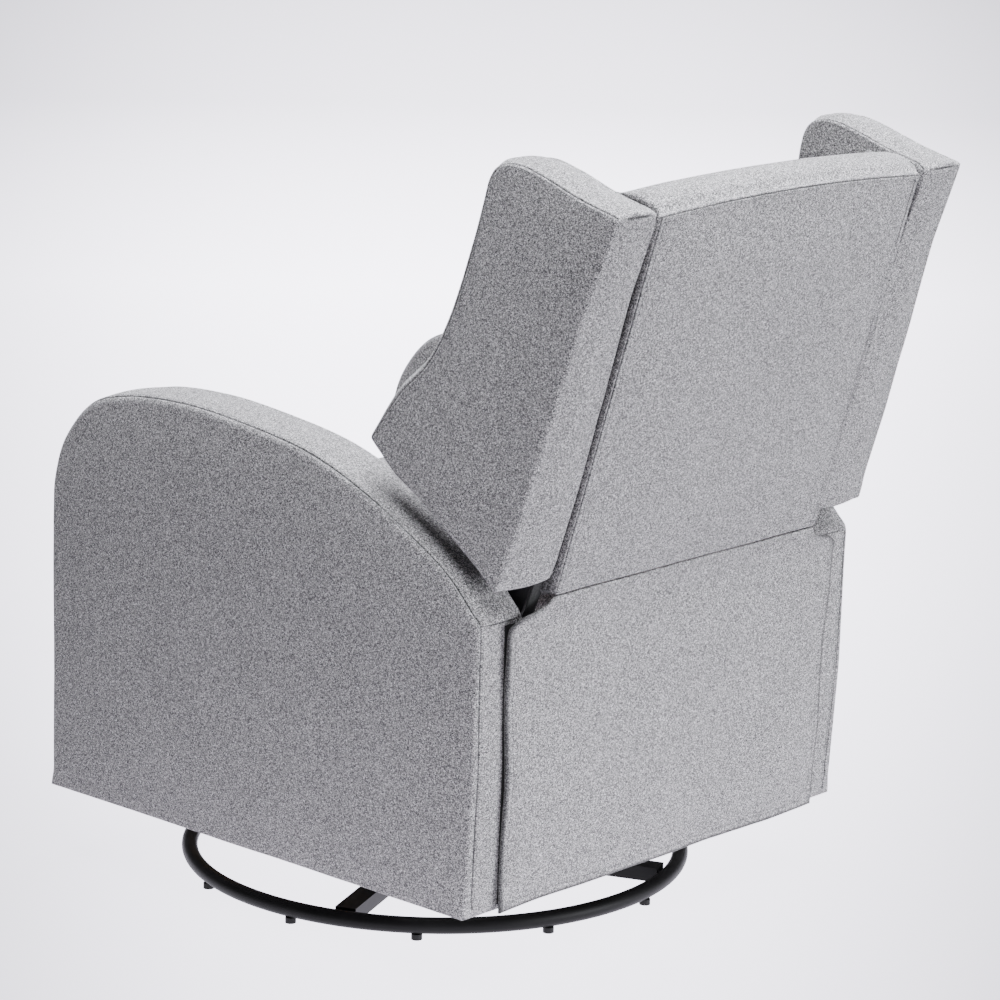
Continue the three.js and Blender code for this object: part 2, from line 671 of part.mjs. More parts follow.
function makeWings() {
  const shape = new THREE.Shape();
  shape.moveTo(105, 684);
  shape.splineThru(vectors([[148, 747], [194, 793], [226, 850], [261, 956], [280, 1030]]));
  shape.splineThru(vectors([[300, 1046], [330, 1048], [370, 1036], [423, 1018], [488, 1004]]));
  shape.lineTo(447, 900);
  shape.lineTo(369, 650);
  shape.lineTo(325, WING_FOOT_Z);
  shape.splineThru(vectors([[282, 560], [197, 620], [151, 644]]));
  shape.closePath();
  for (const [side, hand] of [[-1, "right"], [1, "left"]]) {
    const wing = alongX(shape, onSide(side, [-WING_THICKNESS, 0]), 8, 2);
    const place = wing.attributes.position;
    for (let i = 0; i < place.count; i += 1) {
      if (side * place.getX(i) < -WING_THICKNESS / 2) {
        const rear = 325 + WING_REAR_LEAN * (place.getZ(i) - WING_FOOT_Z);
        const forward = Math.max(0, rear - place.getY(i));
        place.setX(i, place.getX(i) + side * WING_FLARE * forward);
      }
    }
    const mesh = addPart(`wing_${hand}`, wing.translate(0, 0, -WING_FOOT_Z), "fabric");
    mesh.position.set(side * WING_FOOT_X, 0, WING_FOOT_Z);
    mesh.rotation.y = -side * WING_LEAN;
  }
}

// ---- The flap that hangs behind the seat, from the backrest's bottom seam ----
function makeFlap() {
  const drop = SEAM_Z - 97;
  const corner = 38;
  const shape = polygon([
    [-262, 0],
    [-326, -corner],
    [-320, -drop],
    [320, -drop],
    [326, -corner],
    [262, 0],
  ]);
  const flap = addPart("back_flap", alongY(shape, [-4, 0]), "fabric_shade");
  const place = flap.geometry.attributes.position;
  for (let i = 0; i < place.count; i += 1) {
    const down = -place.getZ(i);
    const inward = (19 * Math.min(down, corner)) / corner + (15 * Math.max(0, down - corner)) / (drop - corner);
    place.setY(i, place.getY(i) - inward);
  }
  flap.position.set(0, SEAM_Y, SEAM_Z);
}

makeRing();
makeCrossbars();
makeFeet();
makeSwivel();
makeCradle();
makeGlideLinks();
makeSidePlates();
makeChassisBars();
makeArms();
makeRelease();
makeCable();
makeSeatFrame();
makeSpringDeck();
makeSeatCushion();
makeTongs();
makeFootrest();
makeBackFrame();
makeBackCushion();
makeBackBrackets();
makeWings();
makeFlap();

export default chair;
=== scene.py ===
"""The looks of a swivel glider recliner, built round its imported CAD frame. Lengths are in metres."""
import json
import math

import bpy
import numpy as np
from mathutils import Matrix, Vector, noise
from mathutils.geometry import delaunay_2d_cdt
from mathutils.kdtree import KDTree


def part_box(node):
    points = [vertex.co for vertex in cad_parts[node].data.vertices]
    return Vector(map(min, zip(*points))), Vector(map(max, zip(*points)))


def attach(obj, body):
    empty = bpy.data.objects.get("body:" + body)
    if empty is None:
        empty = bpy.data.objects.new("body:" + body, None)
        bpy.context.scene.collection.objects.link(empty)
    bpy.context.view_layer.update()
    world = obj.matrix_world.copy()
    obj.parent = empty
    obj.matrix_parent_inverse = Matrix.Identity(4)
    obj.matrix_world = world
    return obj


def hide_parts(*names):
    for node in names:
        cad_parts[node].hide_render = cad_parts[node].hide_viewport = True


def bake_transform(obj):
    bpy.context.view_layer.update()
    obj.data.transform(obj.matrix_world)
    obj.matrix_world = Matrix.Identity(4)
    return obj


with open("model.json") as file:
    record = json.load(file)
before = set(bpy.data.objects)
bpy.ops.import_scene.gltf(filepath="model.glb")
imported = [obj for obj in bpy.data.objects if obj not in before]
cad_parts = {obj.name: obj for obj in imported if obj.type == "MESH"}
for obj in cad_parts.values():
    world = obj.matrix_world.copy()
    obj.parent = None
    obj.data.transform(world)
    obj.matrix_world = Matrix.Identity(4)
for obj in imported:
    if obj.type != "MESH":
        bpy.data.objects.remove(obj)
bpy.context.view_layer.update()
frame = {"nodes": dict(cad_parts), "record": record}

MM = 0.001

# ---- Places taken from the frame ----
ARM_LOW, ARM_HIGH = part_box("arm_pad_left")
SEAT_LOW, SEAT_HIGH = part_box("seat_cushion")
REST_LOW, REST_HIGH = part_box("footrest_pad")
FLAP_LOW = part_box("back_flap")[0]
RING_LOW, RING_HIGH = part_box("base_ring")
BEZEL_LOW, BEZEL_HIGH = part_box("release_bezel")
BASE_CENTRE = (RING_LOW + RING_HIGH) / 2
BEZEL_CENTRE = (BEZEL_LOW + BEZEL_HIGH) / 2
BEZEL_RADIUS = (BEZEL_HIGH.z - BEZEL_LOW.z) / 2
BEZEL_REACH = (BEZEL_HIGH.y - BEZEL_LOW.y) / 2 - BEZEL_RADIUS

# ---- Driving dimensions that the frame's boxes don't give ----
ARM_THICKNESS = ARM_HIGH.x - ARM_LOW.x
ARM_BOTTOM = ARM_LOW.z
BACK_LEAN = math.radians(18.2)
BACK_FOOT_Y = 0.318  # the bottom of the backrest's frame
BACK_FOOT_Z = 0.498
FRAME_HALF = (0.270, 0.255)  # of the backrest's frame, at its bottom and its top
PANEL_HALF = (0.2642, 0.2592)
PANEL_BOTTOM = 0.012  # up the back from its foot
PANEL_TOP = 0.5235
PANEL_SWELL = 0.0123  # how much thicker the panel is at its bottom
SEAM_Y = 0.335  # where the flap hangs from the panel
SEAM_Z = 0.5046
WING_THICKNESS = 0.076
WING_LEAN = math.atan(0.05)
WING_FOOT_X = 0.369
WING_FOOT_Z = 0.530
WING_LIP = 0.2672  # the wing's rear face reaches in to this X
WING_REAR_SLANT = 0.005  # at its foot, the rear face is this much further back at its lip
RAIL_HEIGHT = 0.038  # of the seat frame's front rail
WING_FLARE = 0.12  # the wing thins by this much per metre from its rear edge

# ---- Outlines in (Y, Z) ----
ARM_TOP = [
    (0.306, 0.484), (0.254, 0.536), (0.188, 0.576), (0.105, 0.618), (0.009, 0.652),
    (-0.106, 0.670), (-0.222, 0.679), (-0.330, 0.672), (-0.400, 0.650), (-0.452, 0.595),
    (-0.473, 0.536), (-0.477, 0.480),
]
WING_FRONT = [
    (0.105, 0.684), (0.148, 0.747), (0.194, 0.793), (0.226, 0.850), (0.261, 0.956), (0.279, 1.026),
]
WING_TOP = [
    (0.288, 1.041), (0.305, 1.0485), (0.330, 1.0495), (0.370, 1.0395), (0.423, 1.0215), (0.488, 1.0045),
]
WING_REAR = [(0.447, 0.900), (0.411, 0.782), (0.369, 0.650)]
WING_BOTTOM = [(0.327, 0.5265), (0.282, 0.5585), (0.197, 0.617), (0.149, 0.645)]


# ---- Curves ----
def spline(points, step=2 * MM):
    """Close points along a smooth curve through the given ones."""
    p = np.array(points, float)
    p = np.vstack([2 * p[0] - p[1], p, 2 * p[-1] - p[-2]])
    found = []
    for i in range(1, len(p) - 2):
        p0, p1, p2, p3 = p[i - 1:i + 3]
        knots = np.cumsum([0.0] + [np.linalg.norm(b - a) ** 0.5 for a, b in ((p0, p1), (p1, p2), (p2, p3))])
        count = max(2, int(np.linalg.norm(p2 - p1) / step))
        t = np.linspace(knots[1], knots[2], count, endpoint=False)[:, None]

        def mix(a, b, low, high):
            return (high - t) / (high - low) * a + (t - low) / (high - low) * b

        a1 = mix(p0, p1, knots[0], knots[1])
        a2 = mix(p1, p2, knots[1], knots[2])
        a3 = mix(p2, p3, knots[2], knots[3])
        b1, b2 = mix(a1, a2, knots[0], knots[2]), mix(a2, a3, knots[1], knots[3])
        found.append(mix(b1, b2, knots[1], knots[2]))
    found.append(p[-2:-1])
    return np.vstack(found)


def evenly(points, spacing, closed=True):
    """The same curve with evenly spaced points."""
    p = np.array(points, float)
    if closed:
        p = np.vstack([p, p[:1]])
    along = np.concatenate([[0], np.cumsum(np.linalg.norm(np.diff(p, axis=0), axis=1))])
    count = max(8, int(round(along[-1] / spacing)))
    where = np.linspace(0, along[-1], count, endpoint=not closed)
    return np.stack([np.interp(where, along, p[:, k]) for k in range(p.shape[1])], 1)


def softened(points, width, spacing):
    """A closed, evenly spaced curve with its corners rounded over about `width`."""
    sigma = width / spacing
    reach = int(3 * sigma) + 1
    shifts = np.arange(-reach, reach + 1)
    weights = np.exp(-0.5 * (shifts / sigma) ** 2)
    weights /= weights.sum()
    return sum(w * np.roll(points, k, axis=0) for k, w in zip(shifts, weights))


def with_fine_stretch(points, index, reach, step):
    """The closed curve with extra points close to one of its own, where a cross seam runs."""
    p = np.roll(points, -index, axis=0)
    spacing = np.linalg.norm(p[1] - p[0])
    extra = int(round(spacing / step))
    near = int(math.ceil(reach / spacing))
    fine = []
    for i in range(-near, near):
        a, b = p[i], p[(i + 1) % len(p)]
        fine += [a + (b - a) * k / extra for k in range(extra)]
    rest = list(p[near:len(p) - near])
    return np.array(fine[len(fine) // 2:] + rest + fine[:len(fine) // 2])


def outward(points):
    """Unit normals that point out of a closed curve that runs anticlockwise."""
    tangent = np.roll(points, -1, axis=0) - np.roll(points, 1, axis=0)
    tangent /= np.linalg.norm(tangent, axis=1)[:, None] + 1e-12
    return np.stack([tangent[:, 1], -tangent[:, 0]], 1)


def anticlockwise(points):
    x, y = points[:, 0], points[:, 1]
    area = np.sum(x * np.roll(y, -1) - y * np.roll(x, -1))
    return points if area > 0 else points[::-1].copy()


def ramp(values, low, high):
    """0 before low, 1 after high, and a smooth step between them."""
    t = np.clip((np.asarray(values, float) - low) / (high - low), 0, 1)
    return t * t * (3 - 2 * t)


# ---- Meshes ----
def new_object(name, points, faces, seam=None, smooth=True):
    mesh = bpy.data.meshes.new(name)
    mesh.from_pydata([tuple(p) for p in points], [], faces)
    mesh.validate()
    if smooth:
        mesh.shade_smooth()
    obj = bpy.data.objects.new(name, mesh)
    bpy.context.scene.collection.objects.link(obj)
    # This point attribute paints shade into the cloth's colour: in seam grooves, along the flap's edges and
    # on the back shell's shaded sides.
    attribute = mesh.attributes.new("seam", "FLOAT", "POINT")
    if seam is not None:
        attribute.data.foreach_set("value", np.asarray(seam, np.float32))
    return obj


def prism(name, x, profile):
    """A closed outline in (Y, Z) drawn out from x[0] to x[1]."""
    count = len(profile)
    points = [(at, y, z) for at in x for y, z in profile]
    faces = [(k, (k + 1) % count, (k + 1) % count + count, k + count) for k in range(count)]
    faces += [tuple(range(count - 1, -1, -1)), tuple(range(count, 2 * count))]
    return new_object(name, points, faces, smooth=False)


def applied(obj):
    """Bakes the piece's modifiers into its mesh."""
    found = obj.evaluated_get(bpy.context.evaluated_depsgraph_get())
    mesh = bpy.data.meshes.new_from_object(found)
    obj.modifiers.clear()
    obj.data = mesh


def vectors(items, attribute):
    """A vector attribute of a mesh's vertices or faces, as one row each."""
    values = np.zeros(len(items) * 3)
    items.foreach_get(attribute, values)
    return values.reshape(-1, 3)


def near(points, spot, width):
    """1 at the spot, fading to 0 over about `width`."""
    return np.exp(-(np.linalg.norm(points - spot, axis=1) / width) ** 2)


def inside_and_distance(grid, loop):
    """For each grid point: is it inside the closed loop, and how far is it from it."""
    a, b = loop, np.roll(loop, -1, axis=0)
    inside = np.zeros(len(grid), bool)
    distance = np.full(len(grid), 1e9)
    for k in range(0, len(grid), 2000):
        g = grid[k:k + 2000]
        crosses = (a[None, :, 1] > g[:, None, 1]) != (b[None, :, 1] > g[:, None, 1])
        rise = np.where(np.abs(b[:, 1] - a[:, 1]) < 1e-12, 1e-12, b[:, 1] - a[:, 1])
        at = a[None, :, 0] + (g[:, None, 1] - a[None, :, 1]) * (b[:, 0] - a[:, 0])[None] / rise[None]
        inside[k:k + 2000] = (crosses & (g[:, None, 0] < at)).sum(1) % 2 == 1
        distance[k:k + 2000] = np.sqrt(((g[:, None] - a[None]) ** 2).sum(2)).min(1)
    return inside, distance


def filled(loop, spacing):
    """Triangles that fill a closed loop: its points first, then evenly spread ones inside it."""
    low, high = loop.min(0), loop.max(0)
    rows = np.arange(low[1], high[1], spacing * 0.866)
    grid = []
    for i, y in enumerate(rows):
        xs = np.arange(low[0] + (i % 2) * spacing / 2, high[0], spacing)
        grid.append(np.stack([xs, np.full(len(xs), y)], 1))
    grid = np.vstack(grid)
    inside, distance = inside_and_distance(grid, loop)
    keep = inside & (distance > 0.6 * spacing)
    points = np.vstack([loop, grid[keep]])
    distances = np.concatenate([np.zeros(len(loop)), distance[keep]])
    made = delaunay_2d_cdt([Vector(p) for p in points], [], [list(range(len(loop)))], 1, 1e-7)
    places = [origin[0] if origin else 0 for origin in made[3]]
    triangles = [tuple(places[i] for i in face) for face in made[2]]
    return points, distances, triangles


def settled(heights, triangles, fixed, rounds):
    """Heights with their ridges smoothed out, as a stretched cloth smooths them."""
    edges = np.array([(t[i], t[(i + 1) % 3]) for t in triangles for i in range(3)])
    for _ in range(rounds):
        total = np.zeros(len(heights))
        count = np.zeros(len(heights))
        np.add.at(total, edges[:, 0], heights[edges[:, 1]])
        np.add.at(total, edges[:, 1], heights[edges[:, 0]])
        np.add.at(count, edges[:, 0], 1)
        np.add.at(count, edges[:, 1], 1)
        heights = np.where(fixed, heights, 0.5 * heights + 0.5 * total / np.maximum(count, 1))
    return heights


def cover(name, outline, rings, place, crowns, reach=0.12, spacing=9 * MM, details=None):
    """A closed cover stretched over a slab.

    outline runs anticlockwise in the slab's own plane. Each ring is (inset, height, painted shade): the
    outline moved in by inset at a height through the slab, and how much painted shade darkens the cloth
    there. The first and last rings are filled with faces that swell out by crowns[0] and crowns[1], which
    details(points, distance) adds to.
    place turns (a, b, height) into the row frame."""
    count = len(outline)
    normal = outward(outline)
    points, seam, faces = [], [], []
    for inset, height, depth in rings:
        flat = outline - normal * np.broadcast_to(inset, count)[:, None]
        points.append(np.column_stack([flat, np.broadcast_to(height, count)]))
        seam.append(np.broadcast_to(depth, count))
    for j in range(len(rings) - 1):
        for i in range(count):
            k = (i + 1) % count
            faces.append((j * count + i, j * count + k, (j + 1) * count + k, (j + 1) * count + i))
    total = len(rings) * count
    for last, crown in ((False, crowns[0]), (True, crowns[1])):
        ring = points[len(rings) - 1 if last else 0]
        flat, distance, triangles = filled(ring[:, :2], spacing)
        swell = crown * (1 - (1 - np.clip(distance / reach, 0, 1)) ** 2)
        fixed = np.arange(len(flat)) < count
        swell = settled(swell, triangles, fixed, 30)
        if details and last:
            swell = swell + details(flat, distance) * ~fixed
        base = np.full(len(flat), ring[:, 2].mean())
        inner = np.column_stack([flat, base + (swell if last else -swell)])[count:]
        first = (len(rings) - 1) * count if last else 0

        def index(i):
            return first + i if i < count else total + i - count

        for triangle in triangles:
            corner = [index(i) for i in triangle]
            faces.append(tuple(corner if last else corner[::-1]))
        points.append(inner)
        seam.append(np.zeros(len(inner)))
        total += len(inner)
    placed = place(np.vstack(points))
    axes = place(np.array([[0, 0, 0], [1, 0, 0], [0, 1, 0], [0, 0, 1.0]]) * MM)
    if np.linalg.det(axes[1:] - axes[0]) < 0:
        faces = [face[::-1] for face in faces]
    return new_object(name, placed, faces, np.concatenate(seam))


THREAD_RADIUS = 0.42 * MM


def stitched(name, cover_object, outline, inset, height, place, keep, body, pitch=4.2 * MM):
    """A row of short threads that lies on a cover, where keep(a, b) says so."""
    flat = outline - outward(outline) * np.broadcast_to(inset, len(outline))[:, None]
    line = np.column_stack([flat, np.broadcast_to(height, len(flat))])
    line = evenly(line, pitch)
    chosen = keep(line[:, 0], line[:, 1])
    rows = place(line)
    points, faces = [], []
    half = 0.36 * pitch
    for i in np.nonzero(chosen)[0]:
        along = Vector(rows[(i + 1) % len(rows)] - rows[i - 1]).normalized()
        found, spot, normal, _ = cover_object.closest_point_on_mesh(Vector(rows[i]))
        if not found:
            continue
        across = normal.cross(along).normalized()
        first = len(points)
        for t, size in ((-1, 0.25), (-0.55, 1), (0.55, 1), (1, 0.25)):
            middle = spot + along * (half * t) + normal * (0.15 * MM if abs(t) < 1 else -0.15 * MM)
            for a, b in ((1, 0), (0, 1), (-1, 0), (0, -1)):
                points.append(middle + (across * a + normal * b) * (THREAD_RADIUS * size))
        for j in range(3):
            for k in range(4):
                n = first + 4 * j
                faces.append((n + k, n + (k + 1) % 4, n + 4 + (k + 1) % 4, n + 4 + k))
        faces.append(tuple(first + k for k in (3, 2, 1, 0)))
        faces.append(tuple(first + 12 + k for k in (0, 1, 2, 3)))
    row = new_object(name, points, faces)
    dressed(row, THREAD, body)


def round_edge(radius, top, steps=5):
    """Rings from a face's rim round to the slab's side. top is the height of the face."""
    found = []
    for k in range(steps + 1):
        angle = math.pi / 2 * k / steps
        found.append((radius * (1 - math.sin(angle)), radius * (1 - math.cos(angle)) + top, 0.0))
    return found


SEAM_PROFILE = (  # across a seam: the distance in mm, how deep it sinks, how much painted shade darkens it
    (-4.0, 0.0, 0.0), (-2.2, -0.28, 0.0), (-1.0, 0.25, 0.15), (-0.5, 0.8, 0.8), (0.0, 1.0, 1.0),
    (0.5, 0.8, 0.8), (1.0, 0.25, 0.15), (2.2, -0.28, 0.0), (4.0, 0.0, 0.0),
)


def at_rim(radius, along, sink=0.0):
    """A ring point `along` the curve that runs from a face's rim round to the slab's side."""
    quarter = radius * math.pi / 2
    angle = np.clip(along / radius, 0, math.pi / 2)
    inset = radius * (1 - np.sin(angle)) + sink * np.sin(angle) - np.minimum(0, along)
    height = radius * (1 - np.cos(angle)) + np.maximum(0, along - quarter) + sink * np.cos(angle)
    return inset, height


def sewn_edge(radius, seam_at, depth, mask):
    """Rings from a face's rim round to the side, with a sewn seam `seam_at` along the curve, its groove
    darkened by painted shade.
    """
    rings = []
    start = np.minimum(0, seam_at - 6.5 * MM)
    for t in (0.18, 0.34, 0.5, 0.68, 0.84):
        inset, height = at_rim(radius, start + (seam_at - 4 * MM - start) * t)
        rings.append((inset, height, 0.0))
    for distance, sink, dark in SEAM_PROFILE:
        inset, height = at_rim(radius, seam_at + distance * MM, depth * sink * mask)
        rings.append((inset, height, dark * mask))
    end = np.maximum(radius * math.pi / 2, seam_at + 6 * MM)
    for t in (0.35, 0.7, 1.0):
        along = seam_at + 4 * MM + (end - seam_at - 4 * MM) * t
        inset, height = at_rim(radius, along)
        rings.append((inset, height, 0.0))
    return rings


def mirrored(rings, thickness):
    """The same rings seen from the slab's other face."""
    return [(inset, thickness - height, seam) for inset, height, seam in rings[::-1]]


def band(low, high, bulge, steps=8, sink=0.0, mark=0.0):
    """Rings across the slab's side, swelling in the middle. sink sinks a cross seam's groove and mark paints
    shade into it.
    """
    found = []
    for k in range(1, steps):
        t = k / steps
        swell = bulge * (math.sin(math.pi * t) ** 0.8)
        found.append((sink - swell, low + (high - low) * t, mark))
    return found


def slab_rings(inner, outer, thickness, bulge, cross):
    """The rings of both faces, with a swelling side between them that a cross seam runs over."""
    low, high = inner[-1][1] + 2 * MM, thickness - outer[-1][1] - 2 * MM
    side = band(low, high, bulge, sink=1.2 * MM * cross, mark=cross)
    return inner + side + mirrored(outer, thickness)


def ruffled(obj, amount, size, seed):
    """Moves the points along their normals by a little smooth noise, so that no face is dead flat."""
    mesh = obj.data
    normals = vectors(mesh.vertices, "normal")
    co = vectors(mesh.vertices, "co")
    shift = Vector((seed * 7.3, seed * 1.7, seed * 3.1))
    push = np.array([noise.fractal(Vector(p) / size + shift, 0.8, 2.1, 3) for p in co]) * amount
    mesh.vertices.foreach_set("co", (co + normals * push[:, None]).ravel())
    mesh.update()


def cloth_uv(obj, turn=None):
    """Gives each face its cloth coordinates in metres, laid flat along the nearest of three planes."""
    mesh = obj.data
    rotation = np.array(turn.to_3x3() if turn else Matrix.Identity(3))
    co = vectors(mesh.vertices, "co") @ rotation
    normals = np.abs(vectors(mesh.polygons, "normal") @ rotation)
    normals[:, 2] *= 0.8
    axis = normals.argmax(1)
    counts = np.zeros(len(mesh.polygons), int)
    mesh.polygons.foreach_get("loop_total", counts)
    corners = np.zeros(len(mesh.loops), int)
    mesh.loops.foreach_get("vertex_index", corners)
    per_corner = np.repeat(axis, counts)
    pairs = np.array([[1, 2], [0, 2], [0, 1]])[per_corner]
    p = co[corners]
    rows = np.arange(len(p))
    uv = np.stack([p[rows, pairs[:, 0]], p[rows, pairs[:, 1]]], 1)
    layer = mesh.uv_layers.new(name="cloth")
    layer.data.foreach_set("uv", uv.ravel())


# ---- Materials ----
def new_material(name):
    material = bpy.data.materials.new(name)
    material.use_nodes = True
    tree = material.node_tree
    return material, tree, tree.nodes["Principled BSDF"]


def add(tree, kind, links=None, **values):
    """A node with its inputs set by name or index from `links`, and its properties from values."""
    node = tree.nodes.new("ShaderNode" + kind)
    for key, value in values.items():
        setattr(node, key, value)
    for key, value in (links or {}).items():
        if isinstance(value, bpy.types.NodeSocket):
            tree.links.new(value, node.inputs[key])
        else:
            node.inputs[key].default_value = value
    return node


def math_node(tree, operation, a, b=0.0, clamp=False):
    return add(tree, "Math", {0: a, 1: b}, operation=operation, use_clamp=clamp).outputs[0]


def times(tree, a, b):
    return math_node(tree, "MULTIPLY", a, b)


def plus(tree, a, b, clamp=False):
    return math_node(tree, "ADD", a, b, clamp)


def noise_node(tree, vector, scale, detail=2.0, rough=0.5):
    node = add(tree, "TexNoise", {"Vector": vector, "Scale": scale, "Detail": detail, "Roughness": rough})
    return node.outputs["Fac"]


def put(tree, shader, **values):
    """Sets or links the shader's inputs. An underscore in a name stands for a space."""
    for key, value in values.items():
        socket = shader.inputs[key.replace("_", " ")]
        if isinstance(value, bpy.types.NodeSocket):
            tree.links.new(value, socket)
        else:
            socket.default_value = value


def relief_node(tree, shader, height, strength, depth):
    bump = add(tree, "Bump", {"Height": height, "Strength": strength, "Distance": depth})
    put(tree, shader, Normal=bump.outputs[0])


def ramp_node(tree, factor, stops):
    node = add(tree, "ValToRGB", {"Fac": factor})
    elements = node.color_ramp.elements
    while len(elements) < len(stops):
        elements.new(0.5)
    for element, (position, colour) in zip(elements, stops):
        element.position = position
        element.color = (*colour, 1)
    return node.outputs["Color"]


def linen_material(name, thread=0.92 * MM):
    """A plain weave of mottled yarns: light, mid and dark fibres, a soft sheen and a fine relief."""
    material, tree, shader = new_material(name)
    uv = add(tree, "UVMap", uv_map="cloth").outputs["UV"]
    split = add(tree, "SeparateXYZ", {"Vector": uv})
    u, v = split.outputs["X"], split.outputs["Y"]

    def yarn(across, along, seed):
        """Flecks that are one thread wide and a few threads long."""
        wide = math_node(tree, "DIVIDE", across, thread)
        long = math_node(tree, "DIVIDE", along, thread * 3.2)
        place = add(tree, "CombineXYZ", {"X": wide, "Y": long, "Z": seed}).outputs[0]
        return noise_node(tree, place, 1.0, 1.5, 0.6)

    warp, weft = yarn(u, v, 0.3), yarn(v, u, 7.7)
    wave_u = math_node(tree, "SINE", times(tree, u, math.pi / thread))
    wave_v = math_node(tree, "SINE", times(tree, v, math.pi / thread))
    over = times(tree, wave_u, wave_v)
    over = plus(tree, times(tree, over, 2.0), 0.5, clamp=True)
    flecks = add(tree, "Mix", {0: over, 2: warp, 3: weft}, data_type="FLOAT").outputs[0]
    fine = noise_node(tree, uv, 1.0 / (0.9 * thread), 2.0, 0.7)
    tone = times(tree, flecks, 0.65)
    tone = plus(tree, tone, times(tree, fine, 0.35))
    colour = ramp_node(tree, tone, [
        (0.375, (0.008, 0.008, 0.008)),
        (0.45, (0.050, 0.0488, 0.0493)),
        (0.50, (0.106, 0.1032, 0.1045)),
        (0.54, (0.187, 0.1822, 0.1843)),
        (0.61, (0.600, 0.585, 0.592)),
    ])
    cloud = noise_node(tree, uv, 9.0, 3.0, 0.6)
    cloud = plus(tree, times(tree, cloud, 0.16), 0.92)
    # Painted shade: the cover's point attribute darkens the colour in seam grooves, along the flap's edges
    # and on the back shell's shaded sides.
    seam = add(tree, "Attribute", attribute_name="seam").outputs["Fac"]
    shade = math_node(tree, "SUBTRACT", 1.0, times(tree, seam, 0.85), clamp=True)
    grey = times(tree, cloud, shade)
    tint = add(tree, "CombineColor", {0: grey, 1: grey, 2: grey}).outputs[0]
    mixed = add(tree, "Mix", {0: 1.0, 6: colour, 7: tint}, data_type="RGBA", blend_type="MULTIPLY")
    put(tree, shader, Base_Color=mixed.outputs[2])
    height = times(tree, math_node(tree, "ABSOLUTE", over), 0.5)
    height = plus(tree, height, flecks)
    relief_node(tree, shader, height, 0.35, 0.35 * MM)
    put(tree, shader, Roughness=0.92, Specular_IOR_Level=0.25, Sheen_Weight=0.08, Sheen_Roughness=0.5)
    return material


def coated_steel(name, colour, roughness, grain, relief, **more):
    """Painted or plated metal: an orange-peel relief and slightly uneven gloss."""
    material, tree, shader = new_material(name)
    place = add(tree, "TexCoord").outputs["Object"]
    peel = noise_node(tree, place, grain, 3.0, 0.6)
    cloud = noise_node(tree, place, 14.0, 3.0, 0.6)
    low, high = [c * 0.8 for c in colour], [c * 1.25 for c in colour]
    uneven = plus(tree, times(tree, cloud, 0.12), roughness - 0.06)
    base = ramp_node(tree, cloud, [(0.35, low), (0.65, high)])
    put(tree, shader, Base_Color=base, Roughness=uneven, **more)
    relief_node(tree, shader, peel, relief, 0.15 * MM)
    return material


def moulded(name, colour, roughness, grain, relief):
    """Rubber or plastic with a fine moulded texture."""
    material, tree, shader = new_material(name)
    place = add(tree, "TexCoord").outputs["Object"]
    pits = noise_node(tree, place, grain, 2.0, 0.7)
    dust = noise_node(tree, place, 35.0, 4.0, 0.6)
    pale = [c * 1.5 for c in colour]
    put(tree, shader, Base_Color=ramp_node(tree, dust, [(0.45, colour), (0.75, pale)]))
    relief_node(tree, shader, pits, relief, 0.12 * MM)
    put(tree, shader, Roughness=roughness, Specular_IOR_Level=0.2)
    return material


def plywood():
    """Birch plywood with a long grain."""
    material, tree, shader = new_material("plywood")
    place = add(tree, "TexCoord").outputs["Object"]
    stretched = add(tree, "Mapping", {"Vector": place, "Scale": (9.0, 60.0, 60.0)}).outputs[0]
    grain = noise_node(tree, stretched, 1.6, 5.0, 0.62)
    put(tree, shader, Roughness=0.68, Base_Color=ramp_node(tree, grain, [
        (0.30, (0.33, 0.20, 0.10)),
        (0.50, (0.50, 0.34, 0.19)),
        (0.70, (0.62, 0.45, 0.28)),
    ]))
    relief_node(tree, shader, grain, 0.2, 0.3 * MM)
    return material


def lining_and_gap_shade_cloth(name, grey):
    """Thin non-woven cloth: the gusset's lining, and the black strips that paint the shadowed gap beside the
    flap.
    """
    material, tree, shader = new_material(name)
    place = add(tree, "TexCoord").outputs["Object"]
    fibres = noise_node(tree, place, 700.0, 3.0, 0.7)
    base = ramp_node(tree, fibres, [(0.3, (0.5 * grey,) * 3), (0.7, (1.5 * grey,) * 3)])
    put(tree, shader, Base_Color=base)
    relief_node(tree, shader, fibres, 0.3, 0.2 * MM)
    put(tree, shader, Roughness=0.95, Specular_IOR_Level=0.1)
    return material


LINEN = linen_material("grey_linen")
POWDER_COAT = coated_steel("black_powder_coat", (0.004,) * 3, 0.5, 1400.0, 0.25, Specular_IOR_Level=0.09)
E_COAT = (0.030, 0.030, 0.032)
MECHANISM = coated_steel("mechanism_e_coat", E_COAT, 0.55, 900.0, 0.15, Specular_IOR_Level=0.4)
ZINC = coated_steel("zinc_plate", (0.55, 0.56, 0.58), 0.34, 700.0, 0.10, Metallic=1.0)
SPRING = coated_steel("spring_wire", (0.24, 0.25, 0.27), 0.30, 700.0, 0.10, Metallic=1.0)
RUBBER = moulded("black_rubber", (0.005, 0.005, 0.005), 0.72, 500.0, 0.3)
PLASTIC = moulded("black_plastic", (0.018, 0.018, 0.020), 0.48, 900.0, 0.3)
PLYWOOD = plywood()
# Painted shade: black cloth for the strips that stand in for the shadowed gap beside the flap.
GAP_SHADE_BLACK = lining_and_gap_shade_cloth("black_gap_shade", 0.010)
GUSSET = lining_and_gap_shade_cloth("gusset_lining", 0.034)
THREAD = moulded("grey_thread", (0.055, 0.055, 0.058), 0.85, 3000.0, 0.2)

NODE_MATERIALS = {
    "linen_fabric": LINEN,
    "black_steel": POWDER_COAT,
    "mechanism_steel": MECHANISM,
    "zinc_steel": ZINC,
    "spring_steel": SPRING,
    "plywood": PLYWOOD,
    "rubber": RUBBER,
    "black_plastic": PLASTIC,
}


